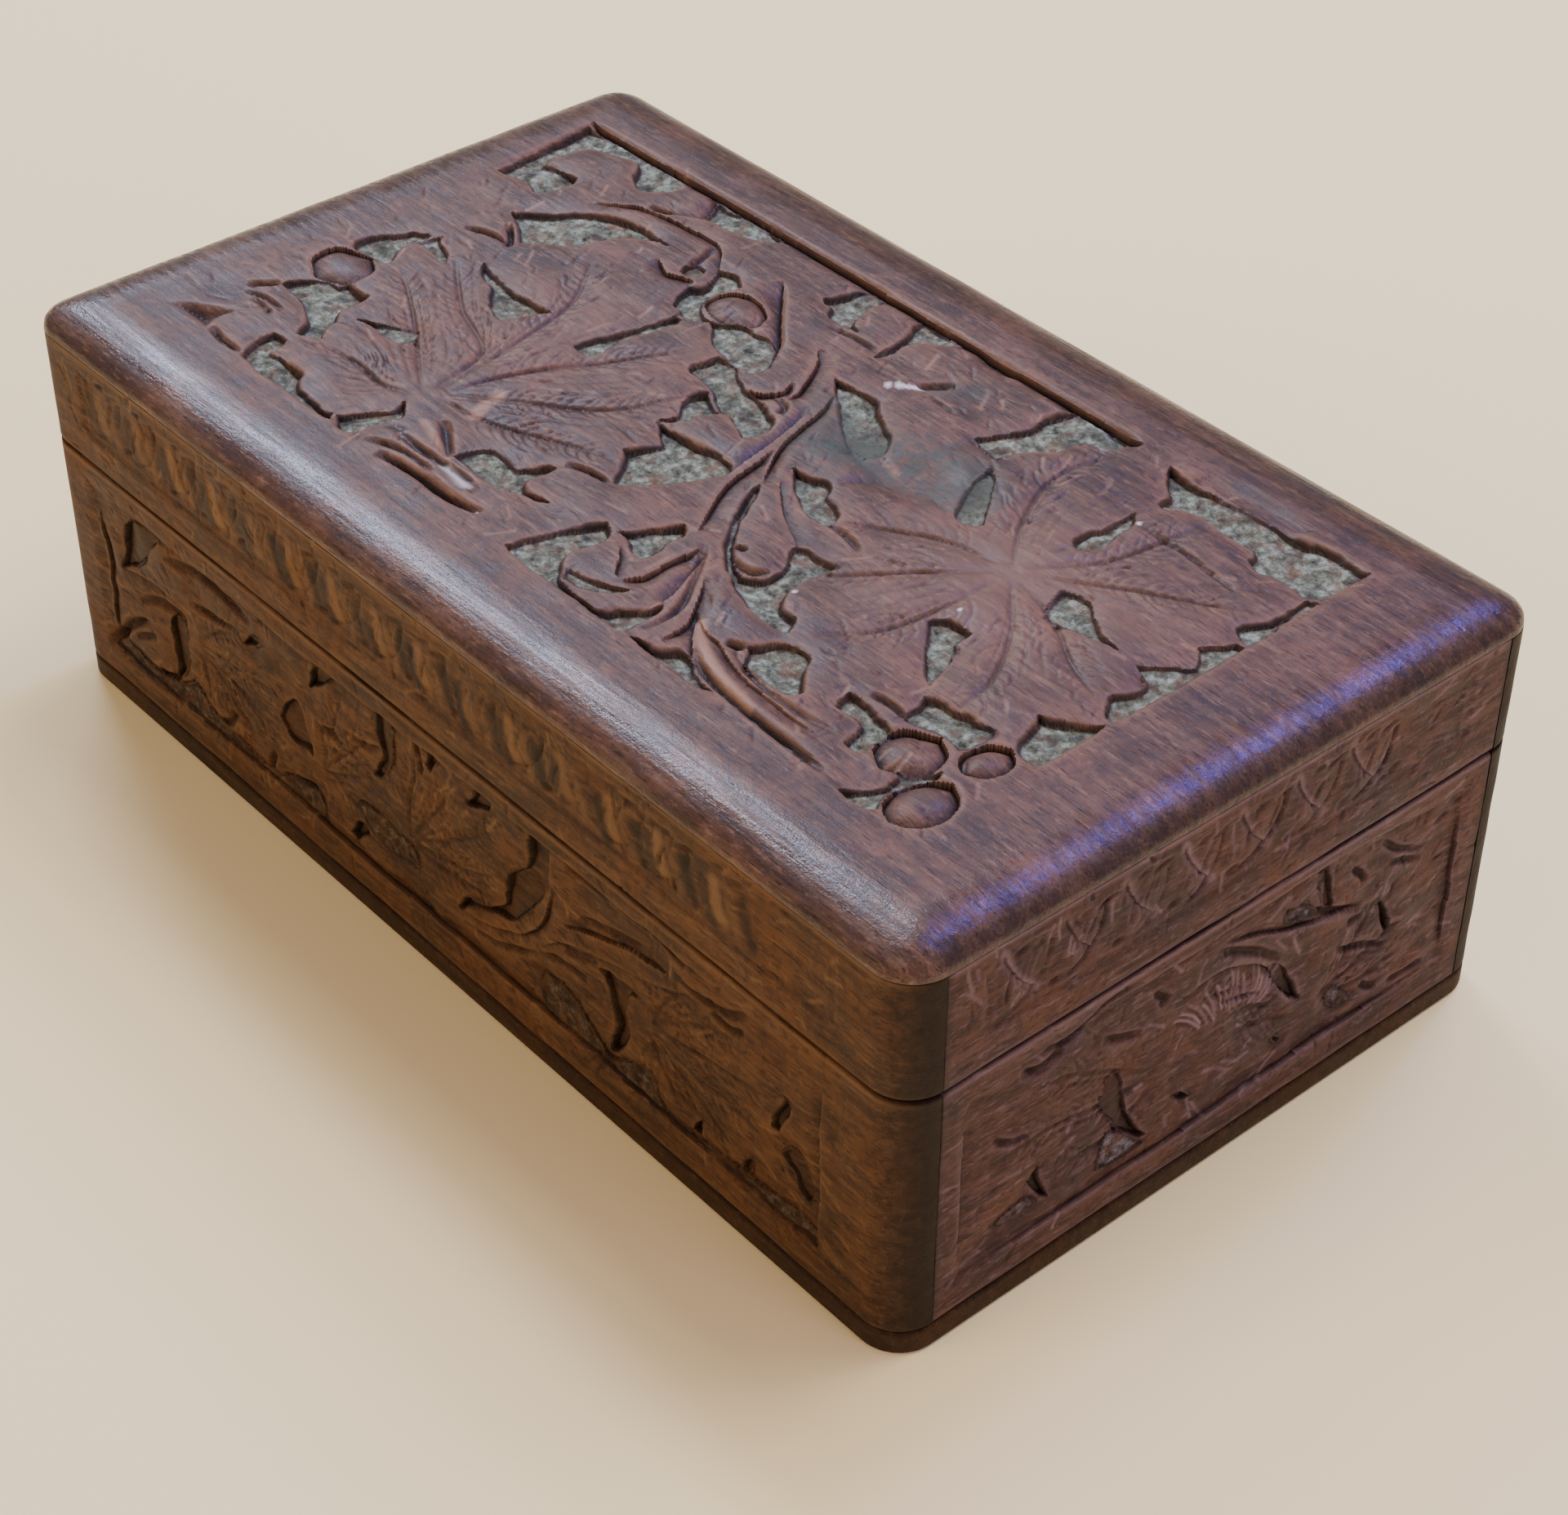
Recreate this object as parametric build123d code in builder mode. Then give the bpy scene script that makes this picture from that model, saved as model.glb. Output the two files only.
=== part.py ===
from build123d import *
from math import radians, tan
import os

# Carved wooden keepsake box with a hinged lid, in millimetres.
# The origin is the middle of the underside. X runs along the box, the front faces -Y and Z is up.

# Whole box
box_length = 250.0
box_width = 145.0
box_height = 86.0
seam_height = 57.0  # rim of the body, where the lid lands
corner_radius = 8.0  # upright corners, seen from above
wall_thickness = 8.0  # body walls and lid rails

# Base board
base_thickness = 5.0
base_edge_round = 0.8

# Lid board: a lip lies on the rails, and a rebated middle drops inside them
lip_thickness = 4.5
plug_thickness = 4.0
plug_clearance = 0.15
lid_edge_round = 4.0

# Carving: the ground between the leaves is cut away to these depths, or less
lid_ground_depth = 2.2
wall_ground_depth = 2.8
frieze_depth = 1.4
frieze_start = 24.0  # from the left end of a rail to the middle of its first leaflet
frieze_pitch = 13.0
long_leaflets = 15
end_leaflets = 7

# The box as the carving below is drawn on it
drawn_length = 250.0
drawn_width = 145.0
drawn_seam_height = 57.0
drawn_rail_height = 24.5

# Brass butt hinges
hinge_inset = 55.0  # from the end of the box to the middle of a hinge
hinge_length = 25.0
knuckle_count = 5
knuckle_play = 0.15  # along the pin, at each end of a knuckle
barrel_radius = 1.6
barrel_clearance = 0.3  # around the barrel, to wood and to the other leaf
pin_radius = 0.8
pin_clearance = 0.05
leaf_width = 5.6  # from the pin's axis to the inner edge of a leaf
leaf_thickness = 0.9
leaf_gap = 0.1  # between the two leaves of a shut hinge
mortise_play = 0.15  # at each end of a leaf
stop_angle = 101.0  # where the two bevels at the back meet and hold the lid

# Countersunk brass screws in the leaves
screws_per_leaf = 3
screw_pitch = 9.0
screw_inset = 1.9  # from the inner edge of a leaf to a screw
screw_head_radius = 1.3
screw_shank_radius = 0.7
screw_length = 6.0
screw_clearance = 0.04
screw_slot_width = 0.35
screw_slot_depth = 0.3

# Steel brads in the base board and the corner joints
brad_radius = 0.7
brad_head_radius = 1.2
brad_head_thickness = 0.6
brad_length = 18.0
brad_clearance = 0.04
base_brad_sink = 0.5
corner_brad_sink = 2.0
corner_brad_margin = 12.0  # from the rim and from the base board to a brad in a body corner
base_brad_margin = 20.0  # from a box corner to the nearest brad in the base board
long_base_brads = 4
end_base_brads = 2

# Heights and places that follow
lip_underside = box_height - lip_thickness
body_height = seam_height - base_thickness
rail_height = lip_underside - seam_height
rail_middle = (seam_height + lip_underside) / 2
inner_length = box_length - 2 * wall_thickness
inner_width = box_width - 2 * wall_thickness
axis_y = box_width / 2 - barrel_radius  # the barrel is flush with the back
hinge_x = box_length / 2 - hinge_inset
knuckle_pitch = hinge_length / knuckle_count
screw_y = axis_y - leaf_width + screw_inset
leaf_face_drop = leaf_gap / 2
brad_line = (wall_thickness + wall_ground_depth) / 2  # from an outer face, behind the carving
end_brad_x = box_length / 2 - brad_line
long_brad_y = box_width / 2 - brad_line

# Cuts between the carved leaves, each a depth and an outline seen from outside. An outline runs
# from the left end of its face and, on the lid, from the front, or on a wall, from the table.
top_cuts = {
    "back_left_strip": (lid_ground_depth, [
        (13.4, 125.6), (18, 126.9), (24, 127.2), (30, 126.5), (36, 127.3), (42, 127.2),
        (46, 126.6), (46.5, 121.2), (44.5, 118.5), (42, 116.4), (39, 117.4), (36, 119.3),
        (34.8, 121.5), (32, 123.3), (28.6, 122.6), (24.5, 121.2), (20.5, 120.2), (20, 117),
        (20.3, 112), (20.4, 109.2), (24, 109.4), (29.5, 110.4), (31, 108.2), (30.6, 104.5),
        (30, 100.8), (28.6, 99.6), (25, 101.2), (20.5, 100.6), (16.4, 99.4), (15.9, 105),
        (15.2, 111), (14.2, 119),
    ]),
    "back_left_eye": (lid_ground_depth, [
        (55.2, 126.6), (60, 126.5), (64, 127.4), (70, 127.2), (76, 126.2), (74.5, 124),
        (72, 121.5), (68, 120), (64, 119.4), (61, 120), (59, 119.2), (57.6, 121.8), (56, 124.2),
    ]),
    "left_crescent": (lid_ground_depth, [
        (32.2, 91.5), (34.5, 94.8), (38, 98), (40, 100.6), (44, 103.8), (49, 106.8), (54, 107.8),
        (60, 107.3), (65.5, 106.8), (60, 106), (56, 104), (53, 101.5), (52.4, 98), (51.5, 95),
        (52, 92.5), (48, 90.6), (45, 88), (42.8, 85.3), (40.5, 86.5), (38.3, 88.2), (36, 89.6),
    ]),
    "bud_left": (lid_ground_depth, [
        (79.5, 109.5), (82, 109.3), (84.5, 107.5), (83.5, 104.5), (83, 101.5), (84.5, 98.2),
        (87, 95.8), (90.5, 95.3), (88.5, 93.4), (85, 92.2), (82.5, 93), (80.2, 93.8), (78.2, 97),
        (76.8, 100.4), (78.5, 102.4), (78, 105), (76.6, 108.4),
    ]),
    "bud_hole": (1.8, [
        (72, 106.8), (75, 106.6), (76, 104), (74.6, 102.4), (72, 102.3), (70.8, 104.4),
    ]),
    "under_bud": (lid_ground_depth, [
        (89.5, 95.4), (92, 97.5), (95.5, 99.8), (98.5, 99.2), (101, 100.2), (104.5, 99),
        (107.5, 96.5), (109.8, 93.5), (110.2, 90.3), (109, 88.5), (103, 89), (97, 89.8),
        (94, 91.8), (91.4, 94),
    ]),
    "middle_upper": (lid_ground_depth, [
        (100.2, 88.8), (105, 89.2), (107.5, 87.5), (112.5, 85), (117, 84.6), (121.5, 83),
        (124.8, 81.6), (125.8, 78), (125, 73.4), (121, 75.5), (117, 77), (115.8, 76.2),
        (112, 77.8), (108.4, 79.8), (104.5, 80.6), (101, 80.8), (99.6, 82.5), (100.2, 86),
    ]),
    "middle_hook": (lid_ground_depth, [
        (108, 79.6), (111.5, 77.8), (115.8, 76.4), (115, 74), (113.5, 71.8), (114, 70),
        (112.6, 68), (110.6, 65.2), (110.3, 66.5), (111.6, 69.5), (109.5, 72), (108, 74),
        (107.2, 76.8),
    ]),
    "middle_lower": (lid_ground_depth, [
        (110.6, 65.3), (115, 66.2), (120, 66.5), (125, 67.4), (130, 67), (131.6, 65.8), (131, 63),
        (129, 57.5), (127.5, 54.5), (125.5, 51.5), (123.6, 49.2), (121.5, 47), (120, 48),
        (117.8, 51), (115.6, 53.6), (114, 55.2), (115, 58), (116.6, 61.5), (113.5, 63.4),
    ]),
    "leaf_slit": (2.1, [
        (83.8, 92), (86.2, 91.6), (86.6, 88), (85.8, 84), (84.8, 79), (85.2, 74), (85.6, 70.5),
        (83, 69.3), (80, 70), (80, 74), (81.5, 78.5), (82.6, 84), (83.2, 88.5),
    ]),
    "leaf_almond": (1.8, [
        (44.6, 75.4), (48, 74.8), (53, 73.8), (58, 73.2), (63, 73.6), (68.4, 74.4), (66.5, 71.5),
        (65.4, 68), (64.6, 65), (61.5, 65), (58, 66.8), (55.5, 68.5), (53, 70.6), (48.5, 71.8),
        (46.5, 73),
    ]),
    "edge_notch": (2.2, [
        (28.8, 74.4), (30, 73.2), (29.9, 70), (29.5, 67), (31.4, 64.5), (32.8, 62.2), (32.6, 60.4),
        (30, 60.2), (27.5, 60.3), (24.5, 59.6), (22.6, 59.8), (21.4, 62), (22, 65.5), (24, 69.5),
        (26.2, 72.6),
    ]),
    "edge_sickle": (1.7, [
        (31, 75.6), (33.5, 73.6), (36.5, 72.6), (39.5, 70.6), (40.4, 69.2), (37, 69.6),
        (33.5, 70.2), (30.4, 70.4), (30.6, 73),
    ]),
    "left_below_berry": (lid_ground_depth, [
        (33.8, 51.3), (37.5, 51), (41.3, 51.2), (41.4, 47.6), (41.2, 44.8), (42.6, 42.8), (45, 41),
        (44.2, 39.6), (46.5, 36.5), (48.4, 35.2), (45, 34), (43.5, 32.4), (42, 34.8), (40, 37.4),
        (36.5, 39.2), (33, 40.2), (29.5, 40.6), (26, 41), (26, 42.8), (28.5, 46.4), (31, 49),
        (33.2, 49.2),
    ]),
    "leaf_slit_low": (1.8, [
        (45, 43), (51, 47.5), (57, 51.5), (60, 48), (57, 45), (50, 45),
    ]),
    "front_long": (lid_ground_depth, [
        (40.3, 30), (44, 30.4), (45.3, 28), (45.5, 25.6), (50, 26), (55.5, 25.8), (57.4, 24),
        (60, 22.8), (64, 22.6), (68, 22.2), (70.5, 22.8), (72, 20.8), (74.5, 20.4), (66, 20.3),
        (57, 20.2), (48, 20.2), (43, 20.6), (41.4, 23), (40, 26.5),
    ]),
    "stalk_hole": (2.2, [
        (75.3, 35), (78, 33.4), (79.8, 31.4), (79.2, 28), (78, 24.6), (78.6, 21.5), (76, 20.4),
        (73.6, 21), (71, 22.8), (73, 26), (75.5, 29.6), (76.4, 32),
    ]),
    "front_slit": (2.2, [
        (95.6, 30.6), (96.4, 34), (98.4, 37.2), (102, 38), (106, 37.4), (107.6, 39.6), (109, 42.4),
        (111, 42.6), (111, 39.5), (110.6, 36.4), (113, 34.4), (116, 34.8), (119.8, 34.6),
        (117, 33.4), (113, 32.4), (110, 30.8), (105, 30.3), (100, 30.6),
    ]),
    "front_middle": (lid_ground_depth, [
        (130, 39.2), (133.6, 36.8), (134, 33), (133.4, 29.5), (133.4, 27), (135.6, 25),
        (138, 22.8), (142, 21.8), (146, 21.4), (150, 22.4), (151.6, 25), (154, 28), (154.8, 31.6),
        (155.8, 30), (156.6, 26), (157, 21), (150, 20.3), (140, 20.3), (130, 20.4), (124, 21),
        (124.4, 24), (125.6, 28), (127, 33), (128.4, 37),
    ]),
    "middle_spot": (lid_ground_depth, [
        (139.2, 48.8), (141.8, 46.5), (141.4, 43.4), (142.8, 40.4), (142.8, 36.2), (139, 36.8),
        (136, 38), (133.2, 38.4), (135, 41), (137, 44.8),
    ]),
    "front_sickle": (1.4, [
        (135.8, 25), (140, 26), (144, 27.4), (148.6, 29.6), (147.6, 27), (145, 24.6), (141, 23),
        (138, 23.2),
    ]),
    "stem_crack": (2, [
        (138, 66.8), (140.2, 64.4), (143.4, 59), (147, 54), (151, 50), (155, 47.2), (159, 46),
        (155, 45), (152, 46.8), (148, 50), (144.5, 54), (141, 59), (138.4, 64),
    ]),
    "right_of_stem": (lid_ground_depth, [
        (157.8, 60.2), (161, 60.4), (165.6, 61.4), (165.8, 58), (165.2, 54), (165.6, 50),
        (167, 47.4), (169, 45.6), (172.6, 45.4), (174, 43.2), (174.8, 41), (170, 40.8),
        (165, 41.2), (160, 42.6), (156.6, 44.4), (154.8, 45.6), (157.5, 46.8), (159.6, 48.2),
        (160.6, 51), (159.6, 54), (157.4, 56.4), (156.6, 58.4),
    ]),
    "husk_eye": (2.1, [
        (137, 74.8), (141, 75), (144.5, 76.4), (147, 76), (149.4, 73), (152.5, 72.6), (154.6, 71),
        (155.4, 68.6), (156, 67), (152, 66.6), (148, 67.6), (144, 69.6), (140.6, 72),
    ]),
    "stem_top": (lid_ground_depth, [
        (120.2, 99.4), (124, 100.2), (131, 101), (134, 98.6), (138, 96.4), (141.5, 95),
        (144.2, 92), (145.6, 89), (143, 86.2), (139.2, 86), (136.6, 87.4), (133, 89.6),
        (129, 92.6), (126, 95.2), (123, 97.4),
    ]),
    "back_between": (lid_ground_depth, [
        (151.5, 106), (153.5, 110), (155.3, 115), (155.2, 121.8), (156, 127), (170, 127),
        (171, 123), (170, 120), (165, 119), (164.4, 114), (161, 110), (159.2, 103.5), (156, 104),
        (151.5, 105.2),
    ]),
    "back_middle": (2.2, [
        (114.6, 126.9), (120, 127), (126.6, 125.8), (127.4, 125), (124.6, 122.6), (121.6, 120.4),
        (120.4, 117), (121, 113), (119.8, 109.4), (118.6, 112), (118.4, 116.5), (117.6, 120),
        (115.8, 123.8),
    ]),
    "back_hook": (2.1, [
        (99.8, 124.6), (103, 126.2), (105.6, 125.4), (106.8, 124.6), (105.6, 121), (106.8, 118.4),
        (108.8, 115), (112, 113.4), (107, 113), (103, 113.2), (100.6, 116), (99.4, 115.6),
        (97.4, 116.6), (98.6, 120),
    ]),
    "back_right_strip": (lid_ground_depth, [
        (180.6, 126), (186, 125.4), (192, 125.8), (200, 126.2), (208, 126.6), (213, 127),
        (218, 128), (224, 127.2), (226, 128), (225.6, 120), (225.8, 116), (223, 114.4), (220, 115),
        (215, 114.6), (213, 113.6), (209.4, 115), (209, 117), (207.6, 118), (202, 117.8),
        (195, 118.4), (191, 117.4), (190, 115.6), (187.4, 116), (187, 119), (183.6, 121.6),
    ]),
    "right_edge_top": (lid_ground_depth, [
        (226, 115), (223.6, 114.5), (223.8, 108), (223.4, 104.5), (221.6, 101), (221.8, 98.8),
        (224, 97.2), (226.6, 97), (226.6, 103), (225.8, 108),
    ]),
    "right_edge_middle": (lid_ground_depth, [
        (226.6, 96), (225, 96), (222.4, 92.6), (221, 90.2), (223.6, 88), (224.6, 86.2),
        (222.8, 84.6), (220.4, 82), (217.8, 79.4), (220.6, 78), (222.4, 76), (222, 73),
        (220.6, 70.4), (221.8, 68.4), (224, 66.2), (226.4, 65.2), (226.9, 80),
    ]),
    "right_edge_low": (lid_ground_depth, [
        (226.6, 64.4), (224.6, 62.6), (221.4, 60.4), (218.6, 58.4), (217, 57.4), (218.4, 56),
        (219, 52.6), (220, 50), (221.6, 48.6), (226.8, 48.2),
    ]),
    "right_leaf_notch": (1.6, [
        (195, 85), (197.6, 86), (200.6, 86.2), (203.6, 84.2), (207, 82), (210.6, 80.4),
        (214.8, 79.8), (210, 79), (206, 78.4), (202, 77.4), (199, 77), (196.8, 79.4),
        (195.6, 82.4),
    ]),
    "right_leaf_slit": (1.9, [
        (187.4, 111), (188.6, 109), (190, 106.6), (190.4, 102.6), (190.8, 99.4), (190.2, 96),
        (188.4, 95), (186.2, 96.2), (185.8, 99.6), (187, 103), (187, 107),
    ]),
    "right_leaf_tip": (1.7, [
        (187, 119.4), (190, 119.6), (191.4, 117.8), (190, 114.8), (187.6, 115.6),
    ]),
    "right_leaf_sickle": (1.9, [
        (160, 101.6), (162.6, 100.2), (164.8, 98.2), (167.6, 95.2), (169.8, 92), (172.8, 88),
        (171.6, 86.4), (169.4, 85.4), (167, 86.2), (165, 89), (163, 92.4), (161.6, 96.6),
    ]),
    "right_leaf_low": (2.1, [
        (187, 63), (189.6, 64.8), (192, 65.2), (194.6, 64.8), (194.8, 61.4), (196.6, 59.6),
        (197.8, 56.4), (199, 53), (200.2, 49.8), (197, 51.6), (193, 55.4), (189.4, 59),
        (186.6, 61.8),
    ]),
    "front_right_hole": (2.2, [
        (176, 39.6), (178.6, 40.4), (182.4, 40), (184, 37.6), (186.6, 35), (188.8, 33), (188, 31),
        (184, 30.6), (180, 30.2), (176, 31), (174, 33.4), (172.6, 34.4), (174, 36.6),
    ]),
    "above_berries": (2.2, [
        (201.6, 47.6), (204, 49), (207, 48.8), (209.6, 50), (212, 49.8), (215.4, 50.2),
        (217, 48.4), (216.4, 45), (215.6, 41.6), (213, 42.8), (210.8, 43), (207, 41.4), (204, 40),
        (203, 42.4), (202.6, 45),
    ]),
    "left_of_berries": (2.2, [
        (193, 38.8), (196, 38.9), (199.6, 38.6), (203.6, 38), (205.6, 36.4), (205, 33.6),
        (206.4, 30.6), (204.6, 29.4), (202.4, 29.4), (201.6, 32), (201, 34.6), (198, 35),
        (194.6, 34.2), (193.6, 36),
    ]),
    "below_berries": (lid_ground_depth, [
        (218, 36.6), (218.8, 34.8), (217, 32), (216, 28.6), (216.2, 25.6), (218, 23), (217.6, 21),
        (214, 20.6), (210.4, 20.6), (211.4, 22.4), (213.6, 24.6), (214.6, 27), (214, 30.4),
        (212, 31.6), (214.6, 32.2), (216.4, 34),
    ]),
    "front_right_edge": (2, [
        (166.4, 25.4), (168.8, 25.8), (171.4, 24.6), (175, 23.2), (179, 21.8), (176, 20.6),
        (170, 20.5), (164, 20.6), (158, 20.8), (160, 22), (164, 22.8),
    ]),
}

long_wall_cuts = {
    "scroll_recess": (2.6, [
        (21.5, 35), (24, 40), (25.3, 46.5), (28, 49.4), (31, 50.3), (39, 50.2), (36, 47),
        (33.5, 44), (31, 41), (28, 38.5), (25, 36.6),
    ]),
    "scroll_slit": (wall_ground_depth, [
        (38.2, 31), (40, 33.2), (44.8, 33.2), (45.3, 31), (44.2, 28), (43.8, 24), (42, 20.5),
        (39, 17), (37.5, 17.4), (38.5, 21), (38.6, 26),
    ]),
    "left_leaf_notch": (2, [
        (66.5, 41.6), (67.5, 43.5), (69, 45), (71, 45.6), (73.5, 45), (72, 44), (69.5, 42.8),
    ]),
    "left_leaf_hole": (wall_ground_depth, [
        (76.3, 30.5), (78, 34), (80, 36.2), (83, 38), (84.5, 36), (86, 33), (87.6, 30),
        (87.5, 27.5), (83.5, 27), (80, 27), (78, 28.5),
    ]),
    "rim_hole_left": (2.6, [
        (88.2, 44), (88.8, 47), (90, 50), (93, 51.2), (96.5, 50.6), (95, 48.5), (92, 46.4),
        (90, 45),
    ]),
    "leaf_gap": (2.6, [
        (109.6, 51.8), (114.5, 51.6), (115, 48), (114.6, 44), (113, 40), (110, 36), (107.5, 35.4),
        (108.8, 38.5), (110.6, 42), (109.5, 46),
    ]),
    "rim_hole_middle": (2.4, [
        (125.4, 53), (130, 53), (128.6, 51), (127, 47.8), (125.2, 48.5), (125.6, 51),
    ]),
    "rim_hole_right": (2.4, [
        (138.6, 50), (140, 52.4), (144.6, 52.4), (144, 50), (141.5, 48.4), (138, 47),
        (136.6, 47.4),
    ]),
    "big_crescent": (wall_ground_depth, [
        (154.8, 52), (161, 52.2), (160.6, 47), (159, 41), (156, 36), (152.5, 31.5), (148, 27.4),
        (143, 25.4), (138, 23.6), (133, 20), (132, 20.6), (134.5, 24.5), (139, 25.8), (144, 27.8),
        (146.4, 30.5), (146.8, 35), (147.6, 38.4), (151.5, 41.5), (154, 45),
    ]),
    "under_stem": (wall_ground_depth, [
        (173, 34), (178, 34.8), (186, 35), (181.5, 33), (180.6, 29), (181.6, 25), (180, 20.5),
        (177.5, 17), (175.5, 16.6), (176, 20), (177.4, 24), (176, 28), (175.5, 31),
    ]),
    "right_leaf_edge": (2.6, [
        (218.4, 31), (218.8, 34.5), (220.6, 37.5), (222, 40.4), (223.4, 39), (222.6, 36),
        (221, 33), (220.4, 30.8),
    ]),
    "right_leaf_foot": (wall_ground_depth, [
        (220.6, 26.6), (222.5, 29.5), (225.5, 30), (227.8, 27), (228.6, 22), (227.4, 20.2),
        (225, 21), (223.8, 24), (222, 25),
    ]),
    "small_cut_left": (2.4, [
        (98, 16), (100, 20), (103.5, 21), (104.5, 19), (102, 17), (100, 14.8),
    ]),
    "small_cut_middle": (2.2, [
        (198.2, 14.6), (199.4, 17.5), (201.6, 19.5), (200.8, 17), (200.2, 14.8),
    ]),
    "small_cut_right": (2.2, [
        (210, 14.4), (211.6, 18), (213.6, 20.2), (213.8, 17.5), (212.4, 14.6),
    ]),
    "low_ground_left": (1.4, [
        (14.5, 12.4), (17.5, 15.6), (24, 15.6), (31, 14.6), (37, 16), (42, 18.5), (46, 20.5),
        (51, 17.6), (57, 15.6), (64, 15.6), (70, 14.4), (77, 16), (88, 19), (90, 16.5), (88, 13),
        (60, 12.4), (25, 12),
    ]),
    "low_ground_middle": (1.2, [
        (101, 25), (104, 27), (110, 27.5), (116, 27), (120, 25.5), (121, 22), (114, 19.5),
        (108, 20), (103, 22),
    ]),
    "low_ground_right": (1.4, [
        (157, 22), (163, 22.6), (168, 21), (172.6, 17), (175, 14.6), (178, 16), (184, 20),
        (189, 19.5), (190.4, 15), (196, 13.6), (205, 14.5), (215, 15), (226, 17), (230, 16),
        (231, 12.4), (200, 12.4), (170, 12.6), (158, 14), (156, 18),
    ]),
}

end_wall_cuts = {
    "big_wedge": (wall_ground_depth, [
        (45, 31), (46, 35), (49.6, 35.6), (50.4, 32), (51, 28), (52.6, 23.5), (55, 19), (57, 16),
        (54.6, 16.6), (51, 20.5), (47.6, 25), (45.6, 28.5),
    ]),
    "pale_ground": (1.4, [
        (45, 15.4), (45.6, 20), (47, 23.4), (50.4, 21), (54, 17.2), (57, 14.6), (52, 14),
        (48, 14.6),
    ]),
    "small_wedge": (2.4, [
        (28, 24), (30.4, 25.6), (31, 27), (31.4, 24), (32.4, 20.5), (33.8, 17), (31.5, 18.6),
        (29.6, 21.5),
    ]),
    "small_wedge_ground": (1, [
        (21, 17.6), (23, 19.4), (26.6, 20.2), (29.6, 19.4), (31.4, 17.4), (26, 16.6),
    ]),
    "stem_crescent": (2.6, [
        (83.6, 38.5), (86.4, 37), (89.4, 34), (91, 31), (92.4, 27.5), (94.2, 25), (91.6, 26),
        (89.2, 28.4), (87.4, 31.4), (85.6, 35),
    ]),
    "leaf_nick": (2, [
        (61.6, 23.2), (64.6, 21.4), (68, 18.4), (65, 18.8), (62.8, 20.8),
    ]),
    "rim_slit": (2.4, [
        (94.6, 53), (97, 52.4), (98.6, 48), (99.4, 44), (99.2, 41.8), (97, 43.6), (95.4, 47),
        (94, 50),
    ]),
    "rim_ground": (1.2, [
        (86, 47.6), (89, 48.4), (92.4, 47), (95, 44.6), (97.4, 42.2), (93.6, 43), (90, 44.8),
        (87, 46),
    ]),
    "right_slit": (2.4, [
        (112, 37.6), (114, 35), (115.8, 31), (116.2, 28), (114.4, 27.6), (113.2, 31), (112.2, 34),
    ]),
    "low_nick": (2, [
        (86.6, 19.6), (88.6, 20), (90.4, 17.6), (88.6, 16.8),
    ]),
    "low_ground": (1.2, [
        (100.6, 21.6), (102.8, 22.4), (105.4, 19.6), (108, 16.6), (104.6, 16.4), (101.6, 18.4),
    ]),
}

# The gap beside one leaflet of a rail, from the leaflet's middle and from the seam
leaflet_gap = [
    (-6, 7.8), (-1, 8.2), (3, 9.8), (5.6, 12.6), (7.2, 16), (8, 20.2), (5.6, 19.6), (5.4, 16.4),
    (4, 13.4), (1.6, 11), (-2, 9.4),
]

# Outer faces of the box, each looking outwards with Z up on the sketch
front_face = Plane(origin=(0, -box_width / 2, 0), x_dir=(1, 0, 0), z_dir=(0, -1, 0))
back_face = Plane(origin=(0, box_width / 2, 0), x_dir=(-1, 0, 0), z_dir=(0, 1, 0))
left_face = Plane(origin=(-box_length / 2, 0, 0), x_dir=(0, -1, 0), z_dir=(-1, 0, 0))
right_face = Plane(origin=(box_length / 2, 0, 0), x_dir=(0, 1, 0), z_dir=(1, 0, 0))
under_face = Plane(origin=(0, 0, 0), x_dir=(1, 0, 0), z_dir=(0, 0, -1))

pieces = {}

# Scale and shift from the drawn box to this one, along each way of a face
along_length = (box_length / drawn_length, -box_length / 2)
along_width = (box_width / drawn_width, -box_width / 2)
wall_up = (seam_height / drawn_seam_height, 0)
rail_up = (rail_height / drawn_rail_height, seam_height)
sharp_angle = 40.0  # degrees of turn that make a corner in an outline


def long_board_plan(side, height):
    # Front (side -1) or back (side 1) board: it runs the whole length of the box.
    with BuildSketch(Plane.XY.offset(height)) as plan:
        RectangleRounded(box_length, box_width, corner_radius)
        with Locations((0, -side * wall_thickness)):
            Rectangle(box_length, box_width, mode=Mode.SUBTRACT)
    return plan.sketch


def end_board_plan(side, height):
    # Left (side -1) or right (side 1) board: it fits between the two long boards.
    with BuildSketch(Plane.XY.offset(height)) as plan:
        RectangleRounded(box_length, box_width, corner_radius)
        Rectangle(box_length, inner_width, mode=Mode.INTERSECT)
        with Locations((-side * wall_thickness, 0)):
            Rectangle(box_length, box_width, mode=Mode.SUBTRACT)
    return plan.sketch


def chisel_line(points):
    # Closed outline: sharp where it turns by more than the sharp angle, and smooth between.
    count = len(points)
    corners = []
    for i, (x, y) in enumerate(points):
        last_x, last_y = points[i - 1]
        next_x, next_y = points[(i + 1) % count]
        turn = Vector(x - last_x, y - last_y).get_angle(Vector(next_x - x, next_y - y))
        if turn > sharp_angle:
            corners.append(i)
    for start, end in zip(corners, corners[1:] + [corners[0] + count]):
        run = [points[i % count] for i in range(start, end + 1)]
        if len(run) == 2:
            Line(*run)
        else:
            Spline(*run)


def cut_area(plane, outline, along, up):
    # A drawn outline on a plane: along and up are each a scale and a shift.
    with BuildSketch(plane) as area:
        with BuildLine():
            chisel_line([(x * along[0] + along[1], y * up[0] + up[1]) for x, y in outline])
        make_face()
    return area.sketch


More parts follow.
